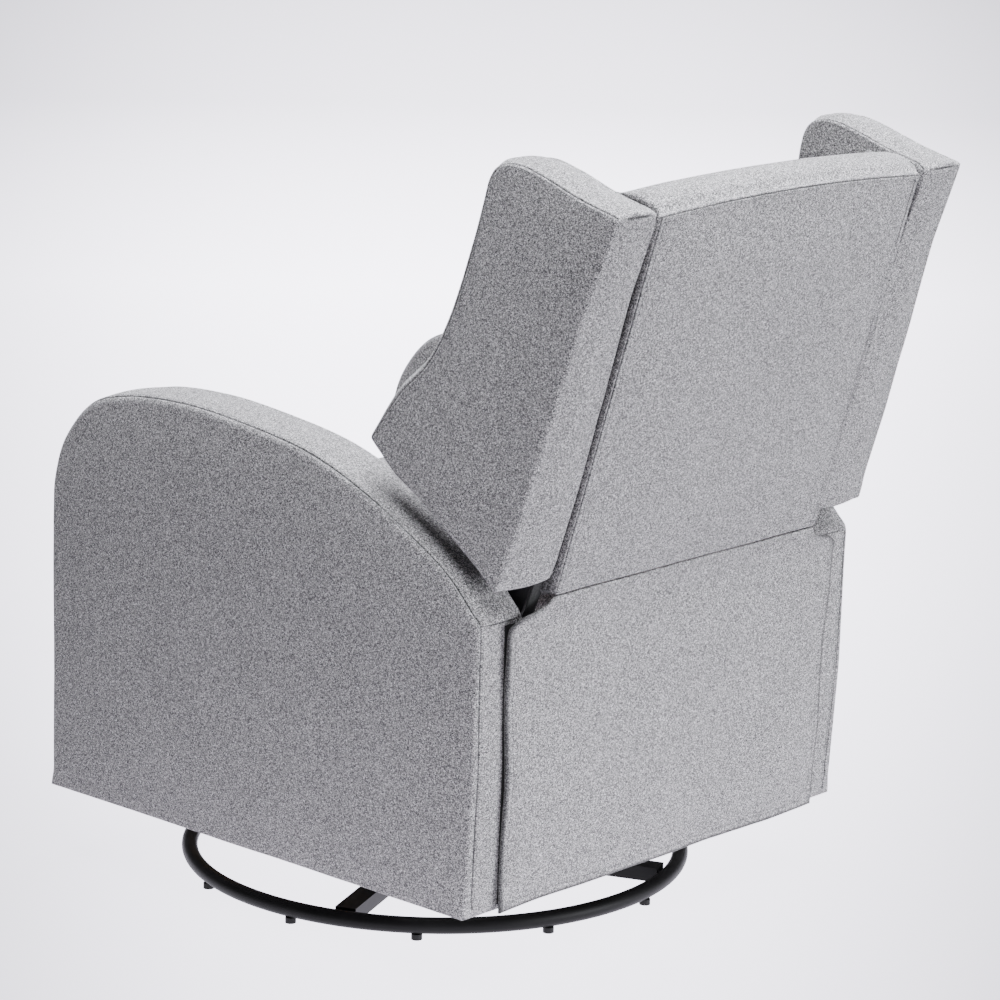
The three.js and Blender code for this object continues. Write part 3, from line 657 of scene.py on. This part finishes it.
def dress_frame():
    """Gives every CAD node the finish that its slot names."""
    for entry in frame["record"]["subparts"]:
        node = frame["nodes"][entry["node"]]
        node.data.materials.clear()
        node.data.materials.append(NODE_MATERIALS[entry["material_slot"]])


def dressed(obj, material, body=None, nodes=(), turn=None):
    """Finishes a piece: cloth coordinates, material, body, and hides the CAD nodes it stands for."""
    if material is LINEN:
        cloth_uv(obj, turn)
    obj.data.materials.append(material)
    if body:
        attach(obj, body)
    if nodes:
        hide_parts(*nodes)
    return obj


# ---- The arms ----
SIDES = ((1, "left"), (-1, "right"))


def arm_outline(spacing=4 * MM):
    top = spline(ARM_TOP)
    ends = np.array([(-0.480, ARM_BOTTOM), (0.291, ARM_BOTTOM - 3 * MM), (0.303, 0.290)])
    line = anticlockwise(evenly(np.vstack([ends, top]), spacing))
    soft = ramp(line[:, 1], ARM_BOTTOM + 8 * MM, ARM_BOTTOM + 45 * MM)[:, None]
    return softened(line, 5 * MM, spacing) * soft + softened(line, 1.5 * MM, spacing) * (1 - soft)


def make_arms():
    line = arm_outline()
    corner = int(np.argmin(np.linalg.norm(line - np.array([0.303, 0.480]), axis=1)))
    line = with_fine_stretch(line, corner, 8 * MM, 0.6 * MM)
    y, z = line[:, 0], line[:, 1]
    above = ramp(z, ARM_BOTTOM + 3 * MM, ARM_BOTTOM + 12 * MM)
    rear = ramp(y, 0.262, 0.290) * ramp(-z, -0.500, -0.470)
    firm = 0.35 + 0.65 * ramp(z, ARM_BOTTOM + 2 * MM, ARM_BOTTOM + 28 * MM)
    outer_radius = (11 * MM - 4.5 * MM * rear) * firm
    outer_seam = 11 * MM + (0.5 * MM + 6 * MM * ramp(-z, -0.47, -ARM_BOTTOM)) * rear
    drop = ramp(y, 0.15, 0.27) * ramp(z, 0.46, 0.485)
    inner_radius = (8 * MM - 3.5 * MM * rear + 9 * MM * drop) * firm
    inner_seam = 8 * MM + 10 * MM * rear + 6 * MM * drop
    cross = near(line, line[0], 0.9 * MM)
    bulge = 3.0 * MM * above * (1 - 0.8 * rear)
    inner = sewn_edge(inner_radius, inner_seam, 1.3 * MM, above)
    outer = sewn_edge(outer_radius, outer_seam, 1.5 * MM, above)
    rings = slab_rings(inner, outer, ARM_THICKNESS, bulge, cross)
    for sign, hand in SIDES:
        def place(p):
            x = ARM_LOW.x + p[:, 2]
            return np.column_stack([sign * x, p[:, 0], p[:, 1]])

        def lie(flat, distance):
            """The bottom edge is pulled in between its staples, and the cover lies flat at the bezel."""
            near = np.exp(-((flat[:, 1] - ARM_BOTTOM) / (22 * MM)) ** 2)
            lift = near * 1.6 * MM * np.sin(flat[:, 0] * 2 * math.pi / 0.093 + 1.3)
            if sign > 0:
                return lift
            swell = 5 * MM * (1 - (1 - np.clip(distance / 0.09, 0, 1)) ** 2)
            away = bezel_distance(flat)
            return lift - (swell + 0.8 * MM) * np.exp(-(np.maximum(away, 0) / 0.05) ** 2)

        arm = cover(f"arm_cover_{hand}", line, rings, place, (1.2 * MM, 5 * MM), 0.09, 9 * MM, lie)
        ruffled(arm, 0.9 * MM, 0.16, 1 + sign)
        if sign < 0:
            cut_cup_hole(arm)
        dressed(arm, LINEN, "chassis", [f"arm_pad_{hand}"])
        inset, height = at_rim(outer_radius, outer_seam + 4.5 * MM)
        stitched(f"arm_stitches_{hand}", arm, line, inset, ARM_THICKNESS - height, place,
                 lambda a, b: b > ARM_BOTTOM + 15 * MM, "chassis")


def bezel_distance(points):
    """How far points (Y, Z) are outside the bezel's rounded slot."""
    along = np.maximum(0, np.abs(points[:, 0] - BEZEL_CENTRE.y) - BEZEL_REACH)
    return np.hypot(along, points[:, 1] - BEZEL_CENTRE.z) - BEZEL_RADIUS


def cut_cup_hole(arm):
    """Opens the cover where the release's cup goes in. The bezel's flange hides the cut."""
    steps, radius = 96, BEZEL_RADIUS - 3.2 * MM
    slot = []
    for k in range(steps):
        angle = 2 * math.pi * k / steps
        shift = BEZEL_REACH if math.cos(angle) > 0 else -BEZEL_REACH
        y = BEZEL_CENTRE.y + shift + radius * math.cos(angle)
        slot.append((y, BEZEL_CENTRE.z + radius * math.sin(angle)))
    cutter = prism("cup_cutter", (BEZEL_LOW.x - 30 * MM, BEZEL_HIGH.x + 2 * MM), slot)
    hole = arm.modifiers.new("hole", "BOOLEAN")
    hole.object = cutter
    hole.solver = "EXACT"
    applied(arm)
    bpy.data.objects.remove(cutter)


# ---- The wings ----
def wing_outline(spacing=4 * MM):
    front, top = spline(WING_FRONT), spline(WING_TOP)
    bottom = spline(WING_BOTTOM)
    line = np.vstack([front, top, np.array(WING_REAR), bottom])
    line = anticlockwise(evenly(line, spacing))
    foot = np.linalg.norm(line - np.array(WING_BOTTOM[0]), axis=1)
    soft = ramp(foot, 8 * MM, 40 * MM)[:, None]
    return softened(line, 4 * MM, spacing) * soft + softened(line, 1.2 * MM, spacing) * (1 - soft)


def wing_rear(z):
    """Where the wing's rear edge is at that height."""
    heights = [0.530, 0.572, 0.650, 0.769, 0.900, 1.004]
    return np.interp(z, heights, [0.325, 0.346, 0.369, 0.412, 0.447, 0.488])


def make_wings():
    line = wing_outline()
    corner = int(np.argmax(line[:, 0]))
    line = with_fine_stretch(line, corner, 8 * MM, 0.6 * MM)
    y, z = line[:, 0], line[:, 1]
    normal = outward(line)
    upper = ramp(normal[:, 1], 0.2, 0.5) * ramp(y, 0.10, 0.13)
    front = ramp(-normal[:, 0], 0.3, 0.6) * ramp(z, 0.66, 0.70)
    sewn = np.clip(upper + front, 0, 1)
    behind = ramp(normal[:, 0], 0.5, 0.8)
    cross = near(line, line[0], 0.9 * MM)
    foot = np.linalg.norm(line - np.array(WING_BOTTOM[0]), axis=1)
    outer_radius = 7 * MM * (0.35 + 0.65 * ramp(foot, 5 * MM, 45 * MM))
    outer_seam = 7 * MM - 5 * MM * front + 3 * MM * behind
    inner_radius = 5 * MM - 2 * MM * behind + 7 * MM * near(line, line[0], 14 * MM)
    inner_radius = inner_radius + 6 * MM * np.exp(-(foot / (16 * MM)) ** 2)
    inner = sewn_edge(inner_radius, 6 * MM + 0 * y, 1.2 * MM, 1 - behind)
    bulge = 2.5 * MM + 2.5 * MM * upper + 3.5 * MM * front
    outer = sewn_edge(outer_radius, outer_seam, 1.4 * MM, sewn)
    rings = slab_rings(inner, outer, WING_THICKNESS, bulge, cross)
    for sign, hand in SIDES:
        def place(p):
            """The outer face leans, the inner face flares, and the rear face reaches in to its lip."""
            outer_x = WING_FOOT_X - math.tan(WING_LEAN) * (p[:, 1] - WING_FOOT_Z)
            forward = np.maximum(0, wing_rear(p[:, 1]) - p[:, 0])
            flare = WING_FLARE * (1 - 0.85 * ramp(p[:, 1], 0.90, 1.01))
            inner_x = outer_x - WING_THICKNESS + flare * forward
            inner_x = WING_LIP + (inner_x - WING_LIP) * ramp(forward, 7 * MM, 24 * MM)
            deep = (WING_THICKNESS - p[:, 2]) / WING_THICKNESS
            x = outer_x - deep * (outer_x - inner_x)
            low = 1 - ramp(p[:, 1], 0.52, 0.98)
            y = p[:, 0] + WING_REAR_SLANT * deep * low * (1 - ramp(forward, 0, 60 * MM))
            return np.column_stack([sign * x, y, p[:, 1]])

        wing = cover(f"wing_cover_{hand}", line, rings, place, (6 * MM, 4 * MM), reach=0.07)
        ruffled(wing, 0.8 * MM, 0.13, 4 + sign)
        dressed(wing, LINEN, "backrest", [f"wing_{hand}"])
        inset, height = at_rim(outer_radius, outer_seam - 4 * MM)

        def top_and_front(a, b):
            return ((b > 0.99) | (a < 0.27)) & (b > 0.70) & (a < wing_rear(b) - 8 * MM)

        stitched(f"wing_stitches_{hand}", wing, line, inset, WING_THICKNESS - height, place,
                 top_and_front, "backrest")


# ---- The centre of the back ----
BACK_TURN = Matrix.Rotation(-BACK_LEAN, 4, "X")
BACK_PLACE = Matrix.Translation((0, BACK_FOOT_Y, BACK_FOOT_Z)) @ BACK_TURN


def on_back(p):
    """Turns (x, up the back, depth into the back) into the row frame."""
    down = np.clip(1 - (p[:, 1] - PANEL_BOTTOM) / (PANEL_TOP - PANEL_BOTTOM), 0, 1)
    local = np.column_stack([p[:, 0], PANEL_SWELL * down - p[:, 2], p[:, 1], np.ones(len(p))])
    return (local @ np.array(BACK_PLACE).T)[:, :3]


def shell_outline(spacing=4 * MM):
    across = np.linspace(-1, 1, 60)
    top = np.column_stack([-PANEL_HALF[1] * across, PANEL_TOP + 0.0025 + 0.010 * (1 - across ** 2)])
    bottom = [(-PANEL_HALF[0], PANEL_BOTTOM), (PANEL_HALF[0], PANEL_BOTTOM)]
    return softened(anticlockwise(evenly(np.vstack([bottom, top]), spacing)), 3 * MM, spacing)


TOP_BAND = spline([  # how far the band over the top rises, against its depth
    (0.000, 0.0), (0.006, 0.0045), (0.014, 0.0090), (0.025, 0.0115), (0.036, 0.0118), (0.046, 0.0098),
    (0.060, 0.0035), (0.075, -0.007), (0.087, -0.018),
])


def make_back_shell():
    line = shell_outline()
    x, v = line[:, 0], line[:, 1]
    normal = outward(line)
    top = ramp(normal[:, 1], 0.6, 0.9)
    end = np.sqrt(np.clip(1 - (np.clip(np.abs(x) - 0.233, 0, None) / 0.032) ** 2, 0, 1))
    below = ramp(-normal[:, 1], 0.6, 0.9)
    t = (v - PANEL_BOTTOM) / (PANEL_TOP - PANEL_BOTTOM)
    frame_half = FRAME_HALF[0] + (FRAME_HALF[1] - FRAME_HALF[0]) * t + 1.5 * MM
    panel_half = PANEL_HALF[0] + (PANEL_HALF[1] - PANEL_HALF[0]) * t
    sides = ramp(np.abs(normal[:, 0]), 0.6, 0.9)
    radius = 4 * MM - 0.5 * MM * sides
    rings = sewn_edge(radius, 6 * MM - 4.5 * MM * top - 4.8 * MM * sides, 1.2 * MM, 1 + 0 * sides)
    start = float(np.max(rings[-1][1]))
    for height in np.linspace(start + 1 * MM, 87 * MM, 18):
        rise = np.interp(height, TOP_BAND[:, 0], TOP_BAND[:, 1]) * end * top
        out = (frame_half - panel_half) * ramp(height, 8 * MM, 18 * MM) * sides
        under = 9 * MM * ramp(height, 14 * MM, 20 * MM) * below
        # Painted shade: the cover's sides and bottom are darkened more than 7 mm in from its face, where
        # they lie in shade.
        painted_side_shade = 0.85 * ramp(height, 7 * MM, 11 * MM) * np.maximum(sides, below) * (1 - top)
        rings.append((-rise - out - under, height, painted_side_shade))
    shell = cover("back_shell_cover", line, rings, on_back, (6 * MM, 0.0), reach=0.14)
    ruffled(shell, 0.8 * MM, 0.15, 9)
    dressed(shell, LINEN, "backrest", ["outside_back_panel"], turn=BACK_TURN)
    stitched("back_panel_stitches", shell, line, 10 * MM, -3 * MM, on_back,
             lambda a, b: (np.abs(a) > 0.24) & (b > 0.02), "backrest")


# ---- The flap behind the seat ----
FLAP_DROP = SEAM_Z - FLAP_LOW.z
FLAP_CORNER = 0.038
FLAP_THICKNESS = 6 * MM


def flap_outline(spacing=3 * MM):
    side = spline([
        (0.262, 0.000), (0.266, -0.007), (0.273, -0.0115), (0.2855, -0.0155), (0.3085, -0.0205),
        (0.3205, -0.0262), (0.3288, -0.0328),
    ])
    edge = np.vstack([side, [(0.3290, -0.037), (0.3262, -0.120), (0.3210, -0.250), (0.320, -FLAP_DROP)]])
    line = evenly(np.vstack([edge[::-1], (edge * [-1, 1])]), spacing)
    return softened(anticlockwise(line), 1.2 * MM, spacing)


def make_flap():
    line = flap_outline()
    radius = 0.5 * FLAP_THICKNESS - 0.2 * MM
    rings = round_edge(radius, 0.0, 4) + mirrored(round_edge(radius, 0.0, 4), FLAP_THICKNESS)
    # Painted shade: a dark line along the flap's sides and bottom, where its rim stands off the arm.
    rings = [(inset, height, 0.85 * ramp(-line[:, 1], 0.004, 0.02)) for inset, height, _ in rings]

    def place(p):
        down = -p[:, 1]
        inward = 19 * MM * ramp(down, -0.020, FLAP_CORNER + 0.012)
        inward = inward + 15 * MM * np.clip((down - FLAP_CORNER) / (FLAP_DROP - FLAP_CORNER), 0, 1)
        edge = ramp(np.abs(p[:, 0]), 0.20, 0.32) * ramp(down, 0.03, 0.12)
        wave = 1.8 * MM * edge * np.sin(down * 2 * math.pi / 0.21 + np.sign(p[:, 0]) * 0.9)
        hang = 2.0 * MM * ramp(down, 0.1, 0.4) * np.sin(p[:, 0] * 2 * math.pi / 0.33 + 0.6)
        y = SEAM_Y + 2 * MM - FLAP_THICKNESS - inward + p[:, 2] + wave + hang
        return np.column_stack([p[:, 0], y, SEAM_Z + p[:, 1]])

    def hems(flat, distance):
        """A shallow channel where the hem is sewn, along the bottom and the sides."""
        lower = ramp(-flat[:, 1], 0.045, 0.06)
        return -0.9 * MM * lower * np.exp(-((distance - 9 * MM) / (2.2 * MM)) ** 2)

    flap = cover("back_flap_cover", line, rings, place, (0.0, 3 * MM), 0.10, 4.5 * MM, hems)
    ruffled(flap, 1.2 * MM, 0.14, 12)
    dressed(flap, LINEN, None, ["back_flap"])
    stitched("flap_stitches", flap, line, 9 * MM + radius, FLAP_THICKNESS + 3 * MM, place,
             lambda a, b: (b < -0.05) & ((np.abs(a) > 0.30) | (b < 20 * MM - FLAP_DROP)), None)
    for piece in (flap, bpy.data.objects["flap_stitches"]):
        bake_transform(piece)


# ---- The black lining behind the gap over each arm, and black strips under the flap's edges that paint the shadowed gap ----
def make_lining_and_gap_shade():
    for sign, hand in SIDES:
        rows = []
        for t in np.linspace(0, 1, 24):
            y, z = 0.287 + 0.062 * t, 0.448 + 0.160 * t
            for u in np.linspace(0, 1, 8):
                sag = 2.5 * MM * math.sin(math.pi * u) * math.sin(math.pi * t)
                rows.append((sign * (0.2735 + (0.2838 - 0.2735) * (2 * u - 1)), y + sag, z))
        faces = [(n, n + 1, n + 9, n + 8) for n in range(8 * 23) if n % 8 < 7]
        gusset = new_object(f"back_gusset_{hand}", rows, faces)
        solidify = gusset.modifiers.new("thickness", "SOLIDIFY")
        solidify.thickness = 0.8 * MM
        dressed(gusset, GUSSET, "backrest")

        # Painted shade: a black strip under each side edge of the flap stands in for the shadowed gap
        # between flap and arm, narrower on the right.
        edge = 0.3290 if sign > 0 else 0.3250
        rows = []
        for t in np.linspace(0, 1, 40):
            z = 0.474 - 0.368 * t
            y = arm_rear(z) + 1.6 * MM
            outer = edge - (edge - 0.3140) * t - 3.6 * MM * (1 - ramp(t, 0.02, 0.35))
            for x in (0.292, outer - 1 * MM, outer):
                rows.append((sign * x, y + (1 * MM if x < outer else 0), z))
            rows.append((sign * outer, y - 1.0 * MM, z))
            rows.append((sign * 0.292, y - 1.0 * MM, z))
        faces = [tuple(range(5)), tuple(range(len(rows) - 1, len(rows) - 6, -1))]
        for i in range(39):
            for j in range(5):
                n = 5 * i
                faces.append((n + j, n + 5 + j, n + 5 + (j + 1) % 5, n + (j + 1) % 5))
        if sign > 0:
            faces = [face[::-1] for face in faces]
        strip = new_object(f"flap_gap_shade_{hand}", rows, faces, smooth=False)
        dressed(strip, GAP_SHADE_BLACK, "chassis")


def arm_rear(z):
    """Where the rear of the arm is at that height."""
    return np.interp(z, [0.101, 0.290, 0.487], [0.290, 0.303, 0.306])


# ---- The cushions ----
CLOTH_FRAMES = 20
CLOTH_PRESSURE = 4.0
CUSHION_VOXEL = 8 * MM
CUSHION_CAP = 22 * MM  # the furthest that a point of a cushion may move
PAD_VOXEL = 6 * MM
PAD_CAP = 12 * MM


def stuffed(obj, voxel, cap):
    """Blows a closed cover up with a short cloth simulation and applies the result."""
    scene = bpy.context.scene
    remesh = obj.modifiers.new("remesh", "REMESH")
    remesh.mode = "VOXEL"
    remesh.voxel_size = voxel
    applied(obj)
    start = vectors(obj.data.vertices, "co")
    cloth = obj.modifiers.new("cloth", "CLOTH")
    cloth.settings.quality = 4
    cloth.settings.mass = 0.25
    cloth.settings.tension_stiffness = 18
    cloth.settings.compression_stiffness = 18
    cloth.settings.shear_stiffness = 6
    cloth.settings.bending_stiffness = 1.5
    cloth.settings.use_pressure = True
    cloth.settings.uniform_pressure_force = CLOTH_PRESSURE
    cloth.settings.effector_weights.gravity = 0
    cloth.point_cache.frame_end = CLOTH_FRAMES
    for frame_number in range(1, CLOTH_FRAMES + 1):
        scene.frame_set(frame_number)
    found = obj.evaluated_get(bpy.context.evaluated_depsgraph_get())
    move = vectors(found.data.vertices, "co") - start
    obj.modifiers.clear()
    scene.frame_set(1)
    length = np.linalg.norm(move, axis=1)[:, None]
    move *= np.minimum(1, cap / np.maximum(length, 1e-9))
    obj.data.vertices.foreach_set("co", (start + move).ravel())
    subdivide = obj.modifiers.new("subdivide", "SUBSURF")
    subdivide.levels = 1
    applied(obj)
    obj.data.shade_smooth()
    obj.data.attributes.new("seam", "FLOAT", "POINT")


def kept_inside(obj, low, high):
    obj.data.vertices.foreach_set("co", np.clip(vectors(obj.data.vertices, "co"), low, high).ravel())
    obj.data.update()


def pressed_seam(obj, line, depth, width, dark=1.0):
    """Sinks a sewn line into a cushion and paints shade into its middle."""
    tree = KDTree(len(line))
    for i, p in enumerate(line):
        spot = obj.closest_point_on_mesh(Vector(p))[1]
        tree.insert(spot, i)
    tree.balance()
    attribute = obj.data.attributes["seam"]
    for i, vertex in enumerate(obj.data.vertices):
        distance = tree.find(vertex.co)[2]
        if distance < width:
            t = 1 - distance / width
            vertex.co -= vertex.normal * depth * t * t * (3 - 2 * t)
            mark = dark * max(0.0, 1 - distance / (2.6 * MM))
            attribute.data[i].value = max(attribute.data[i].value, mark)
    obj.data.update()


def pillow(name, outline, half, radius, soft=4 * MM):
    """The start of a cushion: an outline in (Y, Z) drawn out along X, with round ends."""
    line = softened(anticlockwise(evenly(outline, 5 * MM)), soft, 5 * MM)
    ends = round_edge(radius, 0.0, 6)
    middle = [(0.0, at, 0.0) for at in np.linspace(radius + 8 * MM, 2 * half - radius - 8 * MM, 24)]
    rings = ends + middle + mirrored(ends, 2 * half)

    def place(p):
        return np.column_stack([p[:, 2] - half, p[:, 0], p[:, 1]])

    return cover(name, line, rings, place, (0.0, 0.0))


def rounded_loop(a, b, corner, step=2 * MM):
    """A closed rectangle from (a[0], b[0]) to (a[1], b[1]) with round corners."""
    corners = [(a[0], b[0]), (a[1], b[0]), (a[1], b[1]), (a[0], b[1])]
    return softened(evenly(corners, step), corner, step)


def make_seat_cushion():
    y, z = (SEAT_LOW.y, SEAT_HIGH.y), (SEAT_LOW.z, SEAT_HIGH.z)
    inset = 8 * MM
    arc = [(y[0] + 40 * MM - 32 * MM * math.sin(a), z[1] - inset - 32 * MM * (1 - math.cos(a)))
           for a in np.linspace(0, math.pi / 2, 9)]
    bottom = z[0] + 3 * MM
    outline = [(y[1] - inset, bottom), (y[1] - inset, z[1] - inset)] + arc + [(y[0] + inset, bottom)]
    cushion = pillow("seat_cushion_cover", outline, SEAT_HIGH.x - inset, 16 * MM)
    stuffed(cushion, CUSHION_VOXEL, CUSHION_CAP)
    low = (SEAT_LOW.x, y[0] - 6 * MM, z[0] + 0.5 * MM)
    kept_inside(cushion, low, (SEAT_HIGH.x, y[1] + 3 * MM, z[1] + 8 * MM))
    for height in (z[1] - 16 * MM, z[0] + 16 * MM):
        loop = rounded_loop((SEAT_LOW.x, SEAT_HIGH.x), y, 12 * MM)
        line = np.column_stack([loop, np.full(len(loop), height)])
        pressed_seam(cushion, line, 3 * MM, 9 * MM)
    dressed(cushion, LINEN, "seat", ["seat_cushion"])


def make_footrest_pad():
    y, z = (REST_LOW.y, REST_HIGH.y), (REST_LOW.z, REST_HIGH.z)
    inset = 5 * MM
    taller = 6 * MM  # the simulation draws the pad's edges in
    outline = [(y[1] - 1 * MM, z[0] - taller), (y[1] - 1 * MM, z[1] + taller),
               (y[0] + 8 * MM, z[1] + taller), (y[0] + 8 * MM, z[0] - taller)]
    pad = pillow("footrest_pad_cover", outline, REST_HIGH.x - inset, 6 * MM, 2 * MM)
    stuffed(pad, PAD_VOXEL, PAD_CAP)
    low = (REST_LOW.x, y[0] - 5 * MM, z[0] - 2 * MM)
    kept_inside(pad, low, (REST_HIGH.x, y[1] - 0.3 * MM, z[1] + 2 * MM))
    loop = rounded_loop((REST_LOW.x + 4 * MM, REST_HIGH.x - 4 * MM), (z[0] + 4 * MM, z[1] - 4 * MM), 10 * MM)
    line = np.column_stack([loop[:, 0], np.full(len(loop), y[0] + 9 * MM), loop[:, 1]])
    pressed_seam(pad, line, 2 * MM, 7 * MM)
    dressed(pad, LINEN, "footrest", ["footrest_pad"])


def make_back_cushion():
    lower = spline([(0.106, 0.540), (0.112, 0.610), (0.140, 0.668), (0.166, 0.700), (0.192, 0.716)], 6 * MM)
    upper = spline([
        (0.204, 0.722), (0.204, 0.744), (0.218, 0.768), (0.256, 0.822), (0.294, 0.890), (0.326, 0.960),
        (0.348, 1.003), (0.372, 1.017),
    ], 6 * MM)
    rear = [(0.425, 1.004), (0.402, 0.950), (0.262, 0.489), (0.116, 0.489)]
    front = np.vstack([lower, upper])
    outline = np.vstack([front, rear])
    half = 0.260
    cushion = pillow("back_cushion_cover", outline, half, 14 * MM)
    stuffed(cushion, CUSHION_VOXEL, CUSHION_CAP)
    kept_inside(cushion, (-0.264, 0.092, 0.4845), (0.264, 0.432, 1.0265))
    across = np.linspace(-0.27, 0.27, 240)
    pressed_seam(cushion, np.column_stack([across, across * 0 + 0.180, across * 0 + 0.724]), 1 * MM, 6 * MM)
    for side in (-1, 1):
        edge = np.column_stack([front[:, 0] * 0 + side * 0.262, front[:, 0] - 4 * MM, front[:, 1]])
        pressed_seam(cushion, evenly(edge, 2 * MM, False), 1.5 * MM, 6 * MM)
    dressed(cushion, LINEN, "backrest", ["back_cushion"])


def strip(name, body, x, profile):
    """A thin strip of cover: a closed outline in (Y, Z) from x[0] to x[1]."""
    dressed(prism(name, x, profile), LINEN, body)


def make_strips():
    """The cover goes on over the footrest board's edges and the seat frame's front rail."""
    gap, cloth = 0.5 * MM, 1.8 * MM
    low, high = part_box("footrest_board")
    x = (low.x + 1 * MM, high.x - 1 * MM)
    front, rear = low.y - gap, high.y
    for name, edge, sign in (("footrest_top_strip", high.z, 1), ("footrest_bottom_strip", low.z, -1)):
        face = edge + sign * gap
        turned = edge - sign * 24 * MM
        outside = face + sign * cloth
        strip(name, "footrest", x, [
            (rear, face), (front, face), (front, turned),
            (front - cloth, turned), (front - cloth, outside), (rear, outside),
        ])
    low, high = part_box("seat_frame")
    x = (low.x + 11 * MM, high.x - 11 * MM)
    front, rear = low.y - gap, low.y + 22 * MM
    top, bottom = high.z + gap, high.z - RAIL_HEIGHT
    strip("seat_rail_cover", "seat", x, [
        (rear, top), (front, top), (front, bottom),
        (front - cloth, bottom), (front - cloth, top + cloth), (rear, top + cloth),
    ])


# ---- The floor base ----
def make_base():
    bpy.ops.mesh.primitive_torus_add(
        major_radius=(RING_HIGH.x - RING_LOW.x) / 2 - (RING_HIGH.z - RING_LOW.z) / 2,
        minor_radius=(RING_HIGH.z - RING_LOW.z) / 2,
        major_segments=240,
        minor_segments=24,
        location=BASE_CENTRE,
    )
    ring = bpy.context.object
    ring.name = "base_ring_tube"
    ring.data.shade_smooth()
    dressed(ring, POWDER_COAT, "floor_base", ["base_ring"])


# ---- The studio ----
CAMERA_AZIMUTH = math.radians(131.8)
CAMERA_ELEVATION = math.radians(13.4)
CAMERA_ROLL = math.radians(1.2)
CAMERA_DISTANCE = 5.1752
CAMERA_TARGET = Vector((-0.0373, -0.0299, 0.5150))
CAMERA_LENS = 137.6
FLOOR_TOWARD = (math.sin(CAMERA_AZIMUTH), -math.cos(CAMERA_AZIMUTH), 0)  # from the chair to the camera
FLOOR_ACROSS = (math.cos(CAMERA_AZIMUTH), math.sin(CAMERA_AZIMUTH), 0)
FLOOR_GLOW = ((-12, 3.0), (-8, 3.8), (-4.5, 6.6), (-1.5, 5.4), (0.4, 3.9), (3.0, 1.0), (12, 0.3))
FLOOR_EDGE = 0.84  # the glow's loss far out to the sides
FLOOR_FADE = 0.69  # so that about half of the loss is reached at the picture's edge
PICTURE_SPREAD = 0.131  # half the picture's width at 1 m from the camera


def direction(azimuth, elevation):
    return Vector((
        math.sin(azimuth) * math.cos(elevation),
        -math.cos(azimuth) * math.cos(elevation),
        math.sin(elevation),
    ))


def make_camera():
    data = bpy.data.cameras.new("camera")
    data.lens = CAMERA_LENS
    data.sensor_width = 36
    camera = bpy.data.objects.new("camera", data)
    bpy.context.scene.collection.objects.link(camera)
    back = direction(CAMERA_AZIMUTH, CAMERA_ELEVATION)
    right = Vector((0, 0, 1)).cross(back).normalized()
    up = back.cross(right)
    cos, sin = math.cos(CAMERA_ROLL), math.sin(CAMERA_ROLL)
    axes = Matrix((right * cos + up * sin, up * cos - right * sin, back)).transposed()
    camera.matrix_world = Matrix.Translation(CAMERA_TARGET + back * CAMERA_DISTANCE) @ axes.to_4x4()
    bpy.context.scene.camera = camera


def add_area(name, azimuth, elevation, distance, size, power, target=(0, 0, 0.5)):
    data = bpy.data.lights.new(name, "AREA")
    data.shape = "SQUARE"
    data.size = size
    data.energy = power
    data.color = (0.93, 0.945, 1.0)
    light = bpy.data.objects.new(name, data)
    bpy.context.scene.collection.objects.link(light)
    back = direction(math.radians(azimuth), math.radians(elevation))
    light.location = Vector(target) + back * distance
    light.rotation_euler = back.to_track_quat("Z", "Y").to_euler()


def make_studio():
    bpy.ops.mesh.primitive_circle_add(vertices=96, radius=30, fill_type="NGON")
    floor = bpy.context.object
    floor.name = "studio_floor"
    material, tree, shader = new_material("studio_floor")
    place = add(tree, "TexCoord").outputs["Object"]
    toward = add(tree, "VectorMath", {0: place, 1: FLOOR_TOWARD}, operation="DOT_PRODUCT").outputs["Value"]
    across = add(tree, "VectorMath", {0: place, 1: FLOOR_ACROSS}, operation="DOT_PRODUCT").outputs["Value"]
    first, last = FLOOR_GLOW[0][0], FLOOR_GLOW[-1][0]
    t = add(tree, "MapRange", {"Value": toward, "From Min": first, "From Max": last}).outputs["Result"]
    stops = [((at - first) / (last - first), (glow / 7,) * 3) for at, glow in FLOOR_GLOW]
    lengthwise = times(tree, ramp_node(tree, t, stops), 7.0)
    width = math_node(tree, "SUBTRACT", CAMERA_DISTANCE, toward)
    width = times(tree, width, PICTURE_SPREAD)
    width = math_node(tree, "MAXIMUM", width, 0.5)
    side = math_node(tree, "DIVIDE", math_node(tree, "ABSOLUTE", across), width)
    falling = times(tree, math_node(tree, "POWER", side, 2.5), -FLOOR_FADE)
    fade = math_node(tree, "EXPONENT", falling)
    loss = times(tree, math_node(tree, "SUBTRACT", 1.0, fade), FLOOR_EDGE)
    glow = times(tree, lengthwise, math_node(tree, "SUBTRACT", 1.0, loss))
    put(tree, shader, Emission_Strength=glow, Emission_Color=(0.965, 0.935, 1.06, 1))
    put(tree, shader, Base_Color=(0.06, 0.06, 0.062, 1))
    put(tree, shader, Roughness=0.9, Specular_IOR_Level=0.1)
    floor.data.materials.append(material)
    world = bpy.data.worlds.new("studio")
    bpy.context.scene.world = world
    world.use_nodes = True
    background = world.node_tree.nodes["Background"]
    background.inputs["Color"].default_value = (1.0, 0.97, 0.94, 1)
    background.inputs["Strength"].default_value = 0.18
    add_area("overhead", 175, 80, 3.6, 4.0, 1060)
    add_area("rear", 200, 3, 4.5, 2.5, 475)


make_camera()
make_studio()
dress_frame()
make_arms()
make_wings()
make_back_shell()
make_flap()
make_lining_and_gap_shade()
make_seat_cushion()
make_footrest_pad()
make_back_cushion()
make_strips()
make_base()
